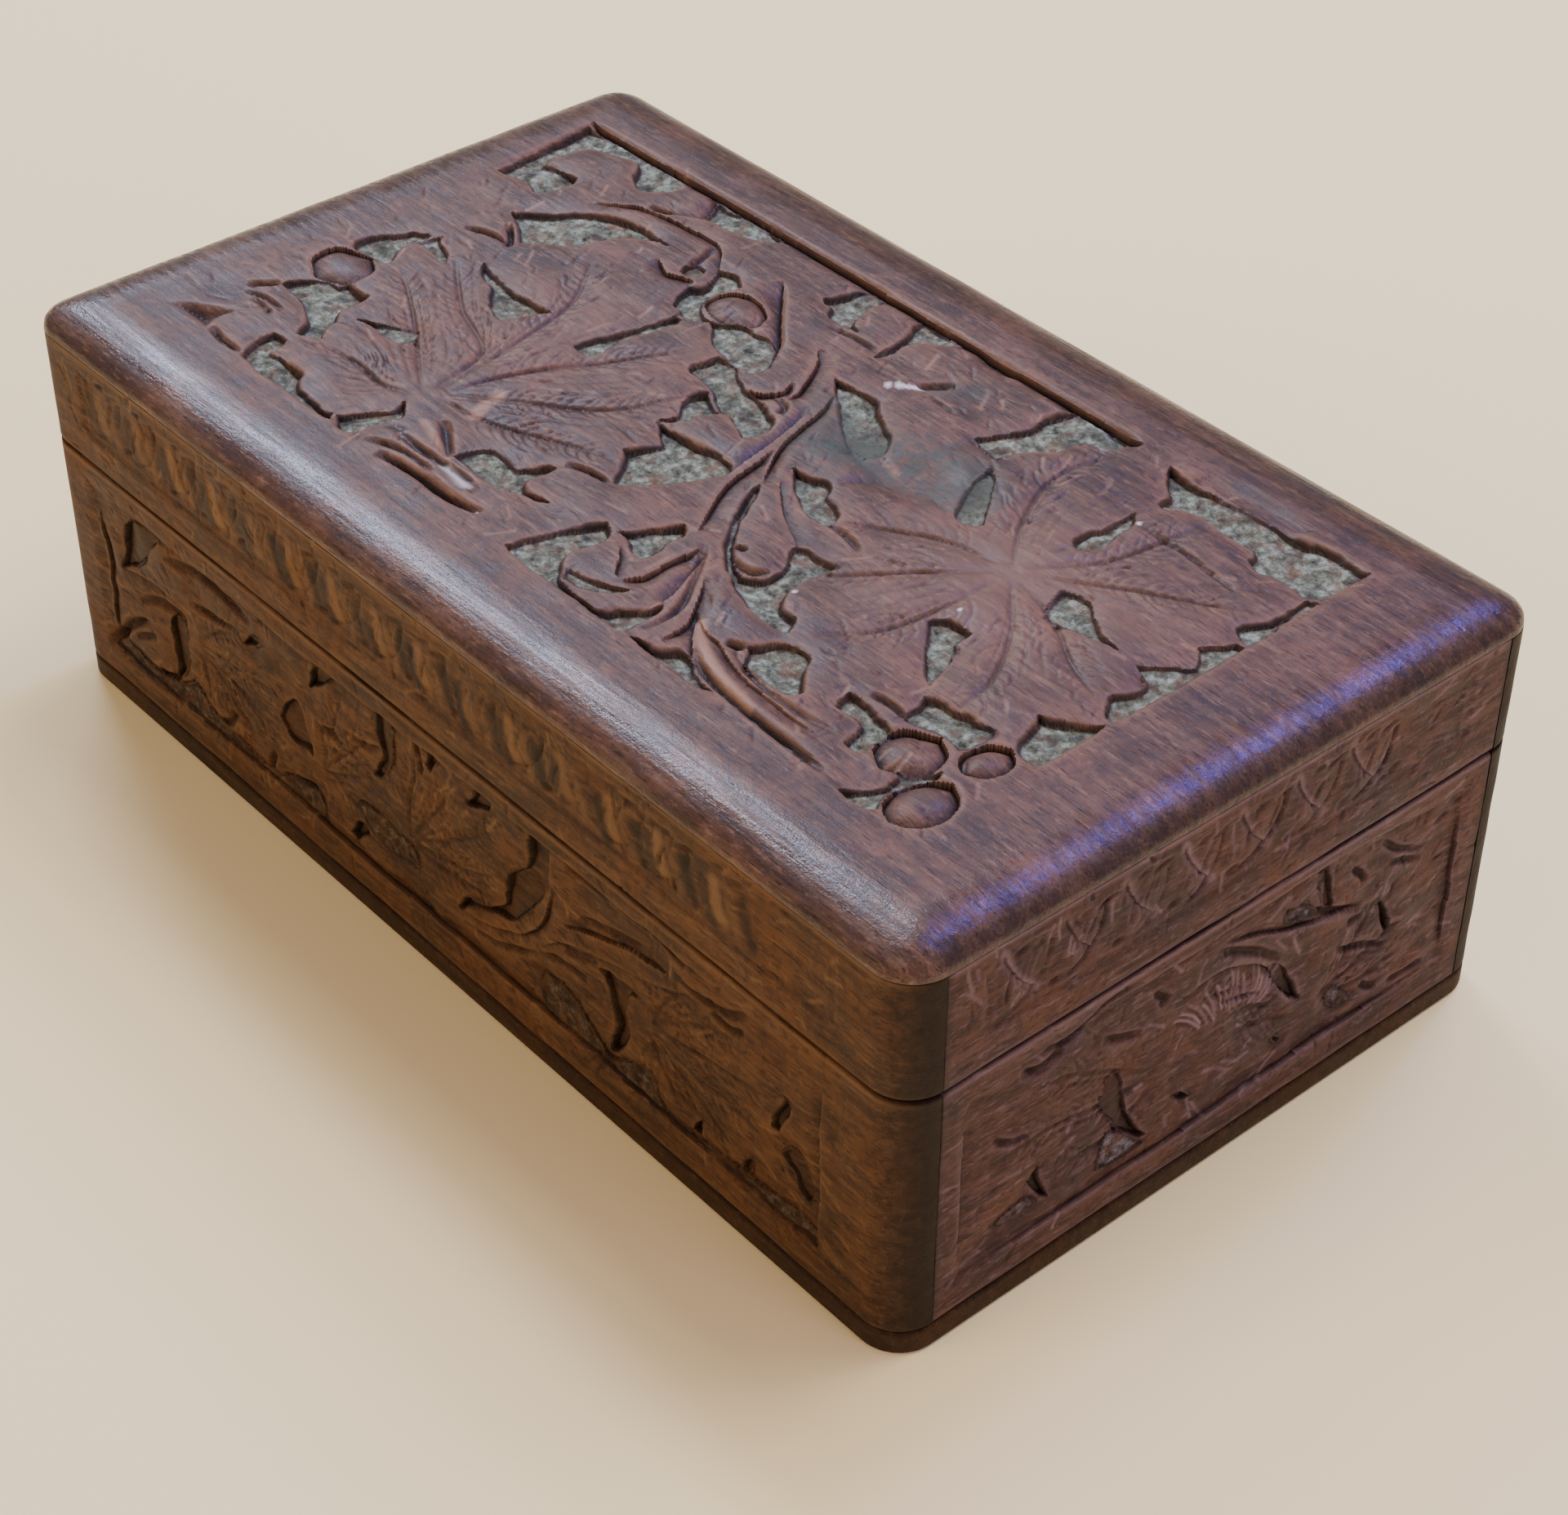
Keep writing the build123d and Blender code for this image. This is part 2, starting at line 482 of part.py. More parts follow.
def leaflet_gaps(face, along, count):
    # The gaps between the leaflets along a rail.
    middles = [frieze_start + i * frieze_pitch for i in range(count)]
    outlines = [[(middle + x, y) for x, y in leaflet_gap] for middle in middles]
    return [cut_area(face, outline, along, rail_up) for outline in outlines]


def corner_spots(face, radius, heights):
    # Circles at the two ends of a long face, over the end boards.
    with BuildSketch(face) as spots:
        for height in heights:
            with Locations((-end_brad_x, height), (end_brad_x, height)):
                Circle(radius)
    return spots.sketch


def base_spots(plane, radius):
    # Circles under the four walls.
    long_pitch = (box_length - 2 * base_brad_margin) / (long_base_brads - 1)
    end_pitch = (box_width - 4 * base_brad_margin) / (end_base_brads - 1)
    with BuildSketch(plane) as spots:
        with GridLocations(long_pitch, 2 * long_brad_y, long_base_brads, 2):
            Circle(radius)
        with GridLocations(2 * end_brad_x, end_pitch, 2, end_base_brads):
            Circle(radius)
    return spots.sketch


def back_bevel(up):
    # Wedge outside the hinge axis, above (up 1) or below (up -1) the seam.
    reach = 2 * barrel_radius
    rise = reach * tan(radians(stop_angle / 2))
    with BuildSketch(Plane.YZ) as wedge:
        with BuildLine():
            Polyline(
                (axis_y, seam_height),
                (axis_y + reach, seam_height),
                (axis_y + reach, seam_height + up * rise),
                close=True,
            )
        make_face()
    return wedge.sketch


def hinge_plan(near, far):
    # Rectangles at the two hinges, between two distances in front of the axis.
    with BuildSketch(Plane.XY.offset(seam_height)) as plan:
        with Locations(*[(x, axis_y - (near + far) / 2) for x in (-hinge_x, hinge_x)]):
            Rectangle(hinge_length + 2 * mortise_play, far - near)
    return plan.sketch


def screw_spots(radius):
    with BuildSketch(Plane.XY.offset(seam_height)) as spots:
        for x in (-hinge_x, hinge_x):
            with Locations((x, screw_y)):
                with GridLocations(screw_pitch, 0, screws_per_leaf, 1):
                    Circle(radius)
    return spots.sketch


body_brad_heights = (base_thickness + corner_brad_margin, seam_height - corner_brad_margin)
lid_brad_heights = (rail_middle,)
barrel_room = barrel_radius + barrel_clearance
brad_hole = brad_radius + brad_clearance
brad_head_hole = brad_head_radius + brad_clearance
brad_hole_depth = base_brad_sink + brad_length + brad_clearance
corner_head_depth = corner_brad_sink + brad_head_thickness
corner_hole_depth = corner_brad_sink + brad_length + brad_clearance
screw_hole = screw_shank_radius + screw_clearance
screw_hole_depth = screw_length + screw_clearance


# Base board
with BuildPart() as base_board:
    with BuildSketch():
        RectangleRounded(box_length, box_width, corner_radius)
    extrude(amount=base_thickness)
    rims = base_board.faces().filter_by(Axis.Z).edges()
    fillet(rims, base_edge_round)
    extrude(base_spots(under_face, brad_hole), amount=-base_thickness, mode=Mode.SUBTRACT)
    extrude(
        base_spots(under_face, brad_head_hole),
        amount=-(base_brad_sink + brad_head_thickness),
        mode=Mode.SUBTRACT,
    )
pieces["base_board"] = base_board


# The long boards of the body and of the lid. The back ones carry the hinges.
long_sides = {"front": (-1, front_face), "back": (1, back_face)}

for name, (side, face) in long_sides.items():
    with BuildPart() as long_wall:
        extrude(long_board_plan(side, base_thickness), amount=body_height)
        for depth, outline in long_wall_cuts.values():
            cut = cut_area(face, outline, along_length, wall_up)
            extrude(cut, amount=-depth, mode=Mode.SUBTRACT)
        shank_holes = corner_spots(face, brad_hole, body_brad_heights)
        extrude(shank_holes, amount=-wall_thickness, mode=Mode.SUBTRACT)
        head_holes = corner_spots(face, brad_head_hole, body_brad_heights)
        extrude(head_holes, amount=-corner_head_depth, mode=Mode.SUBTRACT)
        base_holes = base_spots(Plane.XY, brad_hole)
        extrude(base_holes, amount=brad_hole_depth, mode=Mode.SUBTRACT)
        if name == "back":
            extrude(back_bevel(-1), amount=box_length, both=True, mode=Mode.SUBTRACT)
            leaf_bed = hinge_plan(0, leaf_width)
            extrude(leaf_bed, amount=-leaf_thickness, mode=Mode.SUBTRACT)
            barrel_bed = hinge_plan(-barrel_radius, barrel_room)
            extrude(barrel_bed, amount=-barrel_room, mode=Mode.SUBTRACT)
            extrude(screw_spots(screw_hole), amount=-screw_hole_depth, mode=Mode.SUBTRACT)
    pieces[f"{name}_wall"] = long_wall

    with BuildPart() as long_rail:
        extrude(long_board_plan(side, seam_height), amount=rail_height)
        for gap in leaflet_gaps(face, along_length, long_leaflets):
            extrude(gap, amount=-frieze_depth, mode=Mode.SUBTRACT)
        shank_holes = corner_spots(face, brad_hole, lid_brad_heights)
        extrude(shank_holes, amount=-wall_thickness, mode=Mode.SUBTRACT)
        head_holes = corner_spots(face, brad_head_hole, lid_brad_heights)
        extrude(head_holes, amount=-corner_head_depth, mode=Mode.SUBTRACT)
        if name == "back":
            extrude(back_bevel(1), amount=box_length, both=True, mode=Mode.SUBTRACT)
            leaf_bed = hinge_plan(0, leaf_width)
            extrude(leaf_bed, amount=leaf_thickness, mode=Mode.SUBTRACT)
            barrel_bed = hinge_plan(-barrel_radius, barrel_room)
            extrude(barrel_bed, amount=barrel_room, mode=Mode.SUBTRACT)
            extrude(screw_spots(screw_hole), amount=screw_hole_depth, mode=Mode.SUBTRACT)
    pieces[f"lid_{name}_rail"] = long_rail


# The end boards of the body and of the lid, held between the long ones
end_sides = {"left": (-1, left_face), "right": (1, right_face)}

for name, (side, face) in end_sides.items():
    with BuildPart() as end_wall:
        extrude(end_board_plan(side, base_thickness), amount=body_height)
        for depth, outline in end_wall_cuts.values():
            cut = cut_area(face, outline, along_width, wall_up)
            extrude(cut, amount=-depth, mode=Mode.SUBTRACT)
        for long_face in (front_face, back_face):
            shank_holes = corner_spots(long_face, brad_hole, body_brad_heights)
            extrude(shank_holes, amount=-corner_hole_depth, mode=Mode.SUBTRACT)
        base_holes = base_spots(Plane.XY, brad_hole)
        extrude(base_holes, amount=brad_hole_depth, mode=Mode.SUBTRACT)
    pieces[f"{name}_wall"] = end_wall

    with BuildPart() as end_rail:
        extrude(end_board_plan(side, seam_height), amount=rail_height)
        for gap in leaflet_gaps(face, along_width, end_leaflets):
            extrude(gap, amount=-frieze_depth, mode=Mode.SUBTRACT)
        for long_face in (front_face, back_face):
            shank_holes = corner_spots(long_face, brad_hole, lid_brad_heights)
            extrude(shank_holes, amount=-corner_hole_depth, mode=Mode.SUBTRACT)
    pieces[f"lid_{name}_rail"] = end_rail


# Lid board: rounded over along its top edge, and sunk in the middle for the carving
with BuildPart() as lid_board:
    with BuildSketch(Plane.XY.offset(lip_underside)):
        RectangleRounded(box_length, box_width, corner_radius)
    extrude(amount=lip_thickness)
    top_rim = lid_board.faces().sort_by(Axis.Z)[-1].edges()
    fillet(top_rim, lid_edge_round)
    with BuildSketch(Plane.XY.offset(lip_underside)):
        Rectangle(inner_length - 2 * plug_clearance, inner_width - 2 * plug_clearance)
    extrude(amount=-plug_thickness)
    for depth, outline in top_cuts.values():
        cut = cut_area(Plane.XY.offset(box_height), outline, along_length, along_width)
        extrude(cut, amount=-depth, mode=Mode.SUBTRACT)
pieces["lid_board"] = lid_board


# Hinges: the body leaf has the outer knuckles and the lid leaf those between them
knuckle_places = [(i - (knuckle_count - 1) / 2) * knuckle_pitch for i in range(knuckle_count)]
leaf_kinds = {"body": (-1, knuckle_places[0::2]), "lid": (1, knuckle_places[1::2])}
knuckle_length = knuckle_pitch - 2 * knuckle_play

for side_name, middle_x in (("left", -hinge_x), ("right", hinge_x)):
    for kind, (up, places) in leaf_kinds.items():
        bed = Plane.XY.offset(seam_height + up * leaf_thickness)
        knuckle_spots = [(middle_x + place, axis_y, seam_height) for place in places]
        with BuildPart() as leaf:
            with BuildSketch(bed):
                with Locations((middle_x, axis_y - (barrel_room + leaf_width) / 2)):
                    Rectangle(hinge_length, leaf_width - barrel_room)
                with Locations(*[(x, axis_y - barrel_room / 2) for x, y, z in knuckle_spots]):
                    Rectangle(knuckle_length, barrel_room)
            extrude(amount=-up * (leaf_thickness - leaf_face_drop))
            with Locations(*knuckle_spots):
                Cylinder(barrel_radius, knuckle_length, rotation=(0, 90, 0))
            with Locations((middle_x, axis_y, seam_height)):
                bore = pin_radius + pin_clearance
                Cylinder(bore, 2 * hinge_length, rotation=(0, 90, 0), mode=Mode.SUBTRACT)
            seat = Location((middle_x, screw_y, seam_height + up * leaf_face_drop))
            outwards = seat if up < 0 else seat * Location((0, 0, 0), (180, 0, 0))
            with Locations(outwards):
                with GridLocations(screw_pitch, 0, screws_per_leaf, 1):
                    CounterSinkHole(screw_hole, screw_head_radius + screw_clearance, leaf_thickness, 90)
        pieces[f"{side_name}_hinge_{kind}_leaf"] = leaf

    with BuildPart() as pin:
        with Locations((middle_x, axis_y, seam_height)):
            Cylinder(pin_radius, hinge_length, rotation=(0, 90, 0))
        fillet(pin.edges().filter_by(GeomType.CIRCLE), pin_radius / 2)
    pieces[f"{side_name}_hinge_pin"] = pin


# Hinge screws: a countersunk head with a straight slot, and a pointed shank
with BuildPart() as hinge_screw:
    with BuildSketch(Plane.XZ):
        with BuildLine():
            Polyline(
                (0, 0),
                (screw_head_radius, 0),
                (screw_shank_radius, -(screw_head_radius - screw_shank_radius)),
                (screw_shank_radius, -(screw_length - screw_shank_radius)),
                (0, -screw_length),
                close=True,
            )
        make_face()
    revolve(axis=Axis.Z)
    with BuildSketch():
        Rectangle(2 * screw_head_radius, screw_slot_width)
    extrude(amount=-screw_slot_depth, mode=Mode.SUBTRACT)

for kind, (up, places) in leaf_kinds.items():
    with BuildPart() as hinge_screws:
        for x in (-hinge_x, hinge_x):
            seat = Location((x, screw_y, seam_height + up * leaf_face_drop))
            outwards = seat if up < 0 else seat * Location((0, 0, 0), (180, 0, 0))
            with Locations(outwards):
                with GridLocations(screw_pitch, 0, screws_per_leaf, 1):
                    add(hinge_screw.part)
    pieces[f"{kind}_hinge_screws"] = hinge_screws


# Brads: round heads sunk below the surface, and plain shanks
with BuildPart() as base_brads:
    sunk = under_face.offset(-base_brad_sink)
    extrude(base_spots(sunk, brad_head_radius), amount=-brad_head_thickness)
    extrude(base_spots(sunk, brad_radius), amount=-brad_length)
pieces["base_brads"] = base_brads

for owner, heights in (("body", body_brad_heights), ("lid", lid_brad_heights)):
    with BuildPart() as corner_brads:
        for face in (front_face, back_face):
            sunk = face.offset(-corner_brad_sink)
            extrude(corner_spots(sunk, brad_head_radius, heights), amount=-brad_head_thickness)
            extrude(corner_spots(sunk, brad_radius, heights), amount=-brad_length)
    pieces[f"{owner}_corner_brads"] = corner_brads


os.makedirs("parts", exist_ok=True)
for name, piece in pieces.items():
    piece.part.label = name
    export_step(piece.part, f"parts/{name}.step")
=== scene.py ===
import copy
import math

import bmesh
import bpy
import numpy as np
from mathutils import Matrix, Vector
from mathutils.geometry import delaunay_2d_cdt


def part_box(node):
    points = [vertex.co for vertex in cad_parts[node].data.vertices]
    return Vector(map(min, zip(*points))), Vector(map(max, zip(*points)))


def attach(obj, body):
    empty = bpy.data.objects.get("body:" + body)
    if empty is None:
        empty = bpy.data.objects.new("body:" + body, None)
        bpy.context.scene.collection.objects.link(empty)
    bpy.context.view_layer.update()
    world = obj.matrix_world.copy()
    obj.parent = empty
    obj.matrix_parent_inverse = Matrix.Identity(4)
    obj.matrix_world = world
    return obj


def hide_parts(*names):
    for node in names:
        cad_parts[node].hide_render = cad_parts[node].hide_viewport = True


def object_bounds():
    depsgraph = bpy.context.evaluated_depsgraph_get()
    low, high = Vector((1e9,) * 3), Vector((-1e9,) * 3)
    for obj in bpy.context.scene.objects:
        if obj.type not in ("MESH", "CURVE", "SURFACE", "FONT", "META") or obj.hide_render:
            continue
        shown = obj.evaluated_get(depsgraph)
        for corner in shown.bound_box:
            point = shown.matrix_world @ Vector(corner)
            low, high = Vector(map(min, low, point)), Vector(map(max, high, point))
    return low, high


# Carved walnut keepsake box. Shapes are worked out in millimetres and turned to metres when a mesh
# is made. A face of the box is drawn flat: u runs along it and v up it, from its lower left corner.

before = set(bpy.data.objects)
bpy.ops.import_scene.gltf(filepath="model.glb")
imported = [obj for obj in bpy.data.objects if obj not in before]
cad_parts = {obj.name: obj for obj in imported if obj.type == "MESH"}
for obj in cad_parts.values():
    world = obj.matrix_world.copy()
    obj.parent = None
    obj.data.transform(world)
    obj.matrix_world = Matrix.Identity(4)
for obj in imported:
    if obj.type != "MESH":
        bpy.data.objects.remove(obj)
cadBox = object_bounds()
millimetre = 0.001

length, width, height = [(high - low) / millimetre for low, high in zip(*cadBox)]
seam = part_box("front_wall")[1].z / millimetre
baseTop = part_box("base_board")[1].z / millimetre
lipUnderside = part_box("lid_front_rail")[1].z / millimetre
plugUnderside = (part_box("lid_board")[0] / millimetre).z
thickness = (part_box("front_wall")[1].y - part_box("front_wall")[0].y) / millimetre
cornerRadius = thickness  # the long boards turn a full quarter circle at their ends
cornerRun = math.pi / 2 * cornerRadius
sharpAngle = math.radians(38)  # edges that turn by more than this are shaded as edges
print("frame loaded:", round(length), "x", round(width), "x", round(height), "mm")


def hexColour(code):
    # sRGB hex to the linear colour that shader sockets take
    parts = [int(code[i : i + 2], 16) / 255 for i in (0, 2, 4)]
    return [p / 12.92 if p <= 0.04045 else ((p + 0.055) / 1.055) ** 2.4 for p in parts] + [1]


def addNode(tree, kind, inputs=None, stops=None, **settings):
    # Adds a node with its settings; each input is a value or another node's socket
    node = tree.nodes.new("ShaderNode" + kind)
    for name, value in settings.items():
        setattr(node, name, value)
    if stops:
        ramp = node.color_ramp
        while len(ramp.elements) < len(stops):
            ramp.elements.new(0.5)
        for element, (place, colour) in zip(ramp.elements, stops):
            element.position = place
            element.color = colour
    for name, value in (inputs or {}).items():
        if isinstance(value, bpy.types.NodeSocket):
            tree.links.new(value, node.inputs[name])
        else:
            node.inputs[name].default_value = value
    return node


def newMaterial(name):
    material = bpy.data.materials.new(name)
    material.use_nodes = True
    material.node_tree.nodes.clear()
    return material, material.node_tree


# How long along the grain and how wide across it in millimetres, and the noise's detail and
# roughness. Real pores are finer, and these are drawn as coarse as they need to show.
walnutPatterns = {
    "grain": (22, 1.8, 4, 0.55),
    "pores": (3.6, 0.4, 2, 0.55),
    "patches": (13, 13, 4, 0.6),
    "flecks": (0.9, 0.9, 3, 0.7),
    "scuffs": (4.5, 0.9, 4, 0.7),
    "mottle": (2.4, 2.4, 5, 0.7),
    "streaks": (26, 1.3, 5, 0.7),
    "grit": (2.1, 2.1, 6, 0.75),
    "crumbs": (3.4, 3.4, 4, 0.55),
    "stains": (5, 5, 3, 0.55),
}
# Each coat starts from three colours spread over a pattern. Its layers name a colour, the pattern
# or painted mark that lays it, the values where it starts and where it is full, and its most.
walnutCoats = {
    "wood": {
        "pattern": "grain",
        "stops": [(0.3, "dark"), (0.5, "middle"), (0.7, "light")],
        "layers": [
            ("warm", "patches", 0.48, 0.68, 0.85),
            ("smoky", "patches", 0.46, 0.28, 0.8),
            ("pore", "pores", 0.55, 0.68, 0.75),
            ("rubbedAndHighlight", "scuffs", 0.54, 0.7, 0.45),
            ("smoky", "mottle", 0.5, 0.66, 0.6),
            ("dust", "flecks", 0.58, 0.74, 0.4),
            # The last two layers: ridges lighter from wear and painted highlights, hollows darker from dirt
            # and painted shade
            ("rubbedAndHighlight", "ridgeWearAndHighlight", 0, 1, 1),
            ("grimeAndShade", "hollowDirtAndShade", 0, 1, 1),
        ],
    },
    "dust": {
        "pattern": "grit",
        "stops": [(0.34, "groundDark"), (0.5, "groundMiddle"), (0.64, "groundLight")],
        "layers": [("warm", "crumbs", 0.5, 0.68, 0.6), ("grimeAndShade", "stains", 0.5, 0.7, 0.6)],
    },
}
# The look's own roughness, the pattern that spreads it, from where to where, and by how much
walnutSheen = {
    "roughness": ("patches", 0.3, 0.7, -0.07, 0.1),
    "handledRoughness": ("streaks", 0.4, 0.62, -0.03, 0.19),
}
dustRoughness = 0.9
walnutBump = {"mottle": 0.35, "flecks": 0.6, "millimetres": 0.3}  # shares beside the grain's 1
walnutIor = 1.5


def stainedWalnut(name, look):
    # Walnut, carved by hand, stained and waxed. The grain is a soft streak, the stain lies in
    # uneven patches, hollows are darkened by dirt and painted shade, the cut ground is grey with dust
    # and rims are lightened by wear and painted highlights.
    material, tree = newMaterial(name)
    place = addNode(tree, "TexCoord").outputs["Object"]
    fields = {}
    for key, (along, across, detail, roughness) in walnutPatterns.items():
        scale = [1000 / (along if axis == look["grainAxis"] else across) for axis in "XYZ"]
        where = addNode(tree, "Mapping", {"Vector": place, "Scale": scale}).outputs[0]
        inputs = {"Vector": where, "Scale": 1, "Detail": detail, "Roughness": roughness}
        fields[key] = addNode(tree, "TexNoise", inputs).outputs["Fac"]
    for key in ("ridgeWearAndHighlight", "hollowDirtAndShade", "ground", "smudge", "pale", "handled"):
        fields[key] = addNode(tree, "Attribute", attribute_name=key).outputs["Fac"]

    coats = {}
    for key, coat in walnutCoats.items():
        stops = [(at, hexColour(look[colour])) for at, colour in coat["stops"]]
        colour = addNode(tree, "ValToRGB", {"Fac": fields[coat["pattern"]]}, stops=stops).outputs[0]
        for over, field, low, high, most in coat["layers"]:
            ends = {"Value": fields[field], "From Min": low, "From Max": high, "To Max": most}
            amount = addNode(tree, "MapRange", ends).outputs[0]
            layers = {0: amount, 6: colour, 7: hexColour(look[over])}
            colour = addNode(tree, "Mix", layers, data_type="RGBA").outputs[2]
        coats[key] = colour
    ends = {"Value": fields["grit"], "From Min": 0.35, "From Max": 0.6}
    broken = addNode(tree, "MapRange", ends).outputs[0]
    smudge = addNode(tree, "Math", {0: fields["smudge"], 1: broken}, operation="MULTIPLY").outputs[0]
    wood = coats["wood"]
    for amount, colour in (
        (fields["ground"], coats["dust"]),
        (smudge, hexColour(look["smudge"])),
        (fields["pale"], hexColour(look["pale"])),
    ):
        wood = addNode(tree, "Mix", {0: amount, 6: wood, 7: colour}, data_type="RGBA").outputs[2]

    sheen = {}
    for key, (field, low, high, smoother, rougher) in walnutSheen.items():
        ends = {"Value": fields[field], "From Min": low, "From Max": high}
        ends.update({"To Min": look[key] + smoother, "To Max": look[key] + rougher})
        sheen[key] = addNode(tree, "MapRange", ends).outputs[0]
    layers = {0: fields["handled"], 2: sheen["roughness"], 3: sheen["handledRoughness"]}
    roughness = addNode(tree, "Mix", layers, data_type="FLOAT").outputs[0]
    layers = {0: fields["ground"], 2: roughness, 3: dustRoughness}
    roughness = addNode(tree, "Mix", layers, data_type="FLOAT").outputs[0]

    layers = {0: fields["flecks"], 1: walnutBump["flecks"], 2: fields["grain"]}
    fine = addNode(tree, "Math", layers, operation="MULTIPLY_ADD").outputs[0]
    layers = {0: fields["mottle"], 1: walnutBump["mottle"], 2: fine}
    relief = addNode(tree, "Math", layers, operation="MULTIPLY_ADD").outputs[0]
    depth = walnutBump["millimetres"] * millimetre
    bump = addNode(tree, "Bump", {"Height": relief, "Strength": look["bump"], "Distance": depth}).outputs[0]
    inputs = {"Base Color": wood, "Roughness": roughness, "Normal": bump, "IOR": walnutIor}
    inputs["Specular IOR Level"] = look["shine"]
    shader = addNode(tree, "BsdfPrincipled", inputs)
    addNode(tree, "OutputMaterial", {"Surface": shader.outputs[0]})
    return material


# The lid is handled and bleached by light: paler than the rest, and polished round its rim
lidLook = {
    "dark": "32211c",
    "middle": "4b342a",
    "light": "62493b",
    "warm": "66473a",
    "smoky": "372b2e",
    "pore": "1d120e",
    "dust": "6b5f58",
    "rubbedAndHighlight": "8c6a58",
    # The dark colour of hollows and pocket walls stands for dirt and painted shade, so it is cool here
    "grimeAndShade": "17131a",
    "groundDark": "2c2a22",
    "groundMiddle": "5f6358",
    "groundLight": "8b958c",
    "smudge": "3d433e",
    # Pale: white specks, and painted glints on cut facets
    "pale": "c9c2c4",
    "roughness": 0.5,
    "handledRoughness": 0.22,
    "shine": 0.45,
    "bump": 0.5,
    "grainAxis": "X",
}
lidWalnut = stainedWalnut("walnutWaxedLid", lidLook)
# Front and back: warm brown under a dull wax
longLook = dict(
    lidLook,
    dark="2b1a10",
    middle="472e1e",
    light="5b3f29",
    warm="573823",
    smoky="26170f",
    grimeAndShade="140c08",
    dust="5f4b3a",
    rubbedAndHighlight="745639",
    groundDark="241811",
    groundMiddle="3d3026",
    groundLight="5b5048",
    roughness=0.6,
    shine=0.2,
)
longWalnut = stainedWalnut("walnutWaxedLongBoards", longLook)
# The ends: redder and greyer, with the grain along their own length
endLook = dict(
    longLook,
    grainAxis="Y",
    dark="2b1a18",
    middle="412a26",
    light="583f38",
    warm="573a2b",
    smoky="281b1f",
    dust="6d5c5f",
    rubbedAndHighlight="7d666a",
    groundMiddle="4f4848",
    groundLight="7b7680",
    pale="a39aa6",
)
endWalnut = stainedWalnut("walnutWaxedEndBoards", endLook)
# The base board: darker all over, as painted shade at the box's foot
baseLook = dict(longLook, dark="20140c", middle="302015", light="40291a", warm="3c2716", rubbedAndHighlight="4a3524")
baseWalnut = stainedWalnut("walnutPaintedShadeBase", baseLook)
# Inside faces: planed and hardly stained, so they stay lighter and level
planedLook = dict(longLook, dark="3a2416", middle="543721", light="6b4a2e", warm="66452a")
planedWalnut = stainedWalnut("walnutPlaned", planedLook)
print("wood finishes made")


def drawnMetal(name, look):
    # Bare metal, rolled or drawn, so fine lines run along it, and dulled by age in patches
    material, tree = newMaterial(name)
    place = addNode(tree, "TexCoord").outputs["Object"]
    scale = [1000 / size for size in look["lines"]]
    along = addNode(tree, "Mapping", {"Vector": place, "Scale": scale}).outputs[0]
    lines = addNode(tree, "TexNoise", {"Vector": along, "Scale": 1, "Detail": 3}).outputs["Fac"]
    inputs = {"Vector": place, "Scale": 1000 / look["patchSize"], "Detail": 5, "Roughness": 0.65}
    patches = addNode(tree, "TexNoise", inputs).outputs["Fac"]
    stops = [(0.3, hexColour(look["dark"])), (0.7, hexColour(look["light"]))]
    bare = addNode(tree, "ValToRGB", {"Fac": lines}, stops=stops).outputs[0]
    low, high = look["tarnishFrom"]
    ends = {"Value": patches, "From Min": low, "From Max": high, "To Max": look["tarnishMost"]}
    dull = addNode(tree, "MapRange", ends).outputs[0]
    layers = {0: dull, 6: bare, 7: hexColour(look["tarnish"])}
    colour = addNode(tree, "Mix", layers, data_type="RGBA").outputs[2]
    rough = look["roughness"] + look["tarnishRougher"]
    ends = {"Value": dull, "To Min": look["roughness"], "To Max": rough}
    roughness = addNode(tree, "MapRange", ends).outputs[0]
    depth = look["lineDepth"] * millimetre
    layers = {"Height": lines, "Strength": look["bump"], "Distance": depth}
    bump = addNode(tree, "Bump", layers).outputs[0]
    inputs = {"Base Color": colour, "Metallic": 1, "Roughness": roughness, "Normal": bump}
    shader = addNode(tree, "BsdfPrincipled", inputs)
    addNode(tree, "OutputMaterial", {"Surface": shader.outputs[0]})
    return material


# Brass leaves rolled thin: a soft yellow shine under brown tarnish. Sizes are in millimetres.
hingeBrassLook = {
    "dark": "9c7a36", "light": "c9a557", "tarnish": "5b4424",
    "tarnishFrom": (0.42, 0.64), "tarnishMost": 0.75, "tarnishRougher": 0.28,
    "roughness": 0.3, "bump": 0.25, "lineDepth": 0.05, "lines": (9, 0.25, 0.25), "patchSize": 3.5,
}
# Turned screws: brighter where the driver and the lathe left them clean
screwBrassLook = dict(
    hingeBrassLook, light="d2b063", tarnishMost=0.55, lines=(1.2, 0.2, 0.2), patchSize=2,
)
# Drawn steel brads: grey, with rust in patches
bradSteelLook = dict(
    hingeBrassLook, dark="6d6a66", light="8d8a86", tarnish="4a3428", roughness=0.38,
    lines=(0.3, 0.3, 5), patchSize=1.6,
)
metalNodes = [
    ("brassRolledAged", hingeBrassLook, ("hinge_body_leaf", "hinge_lid_leaf", "hinge_pin")),
    ("brassTurnedAged", screwBrassLook, ("hinge_screws",)),
    ("steelDrawnBrads", bradSteelLook, ("brads",)),
]
for name, look, endings in metalNodes:
    metal = drawnMetal(name, look)
    for node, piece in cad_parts.items():
        if node.endswith(endings):
            for slot in piece.material_slots:
                slot.material = metal
print("metal finishes made and given to the hardware")


tiny = 1e-9  # keeps a division from meeting zero


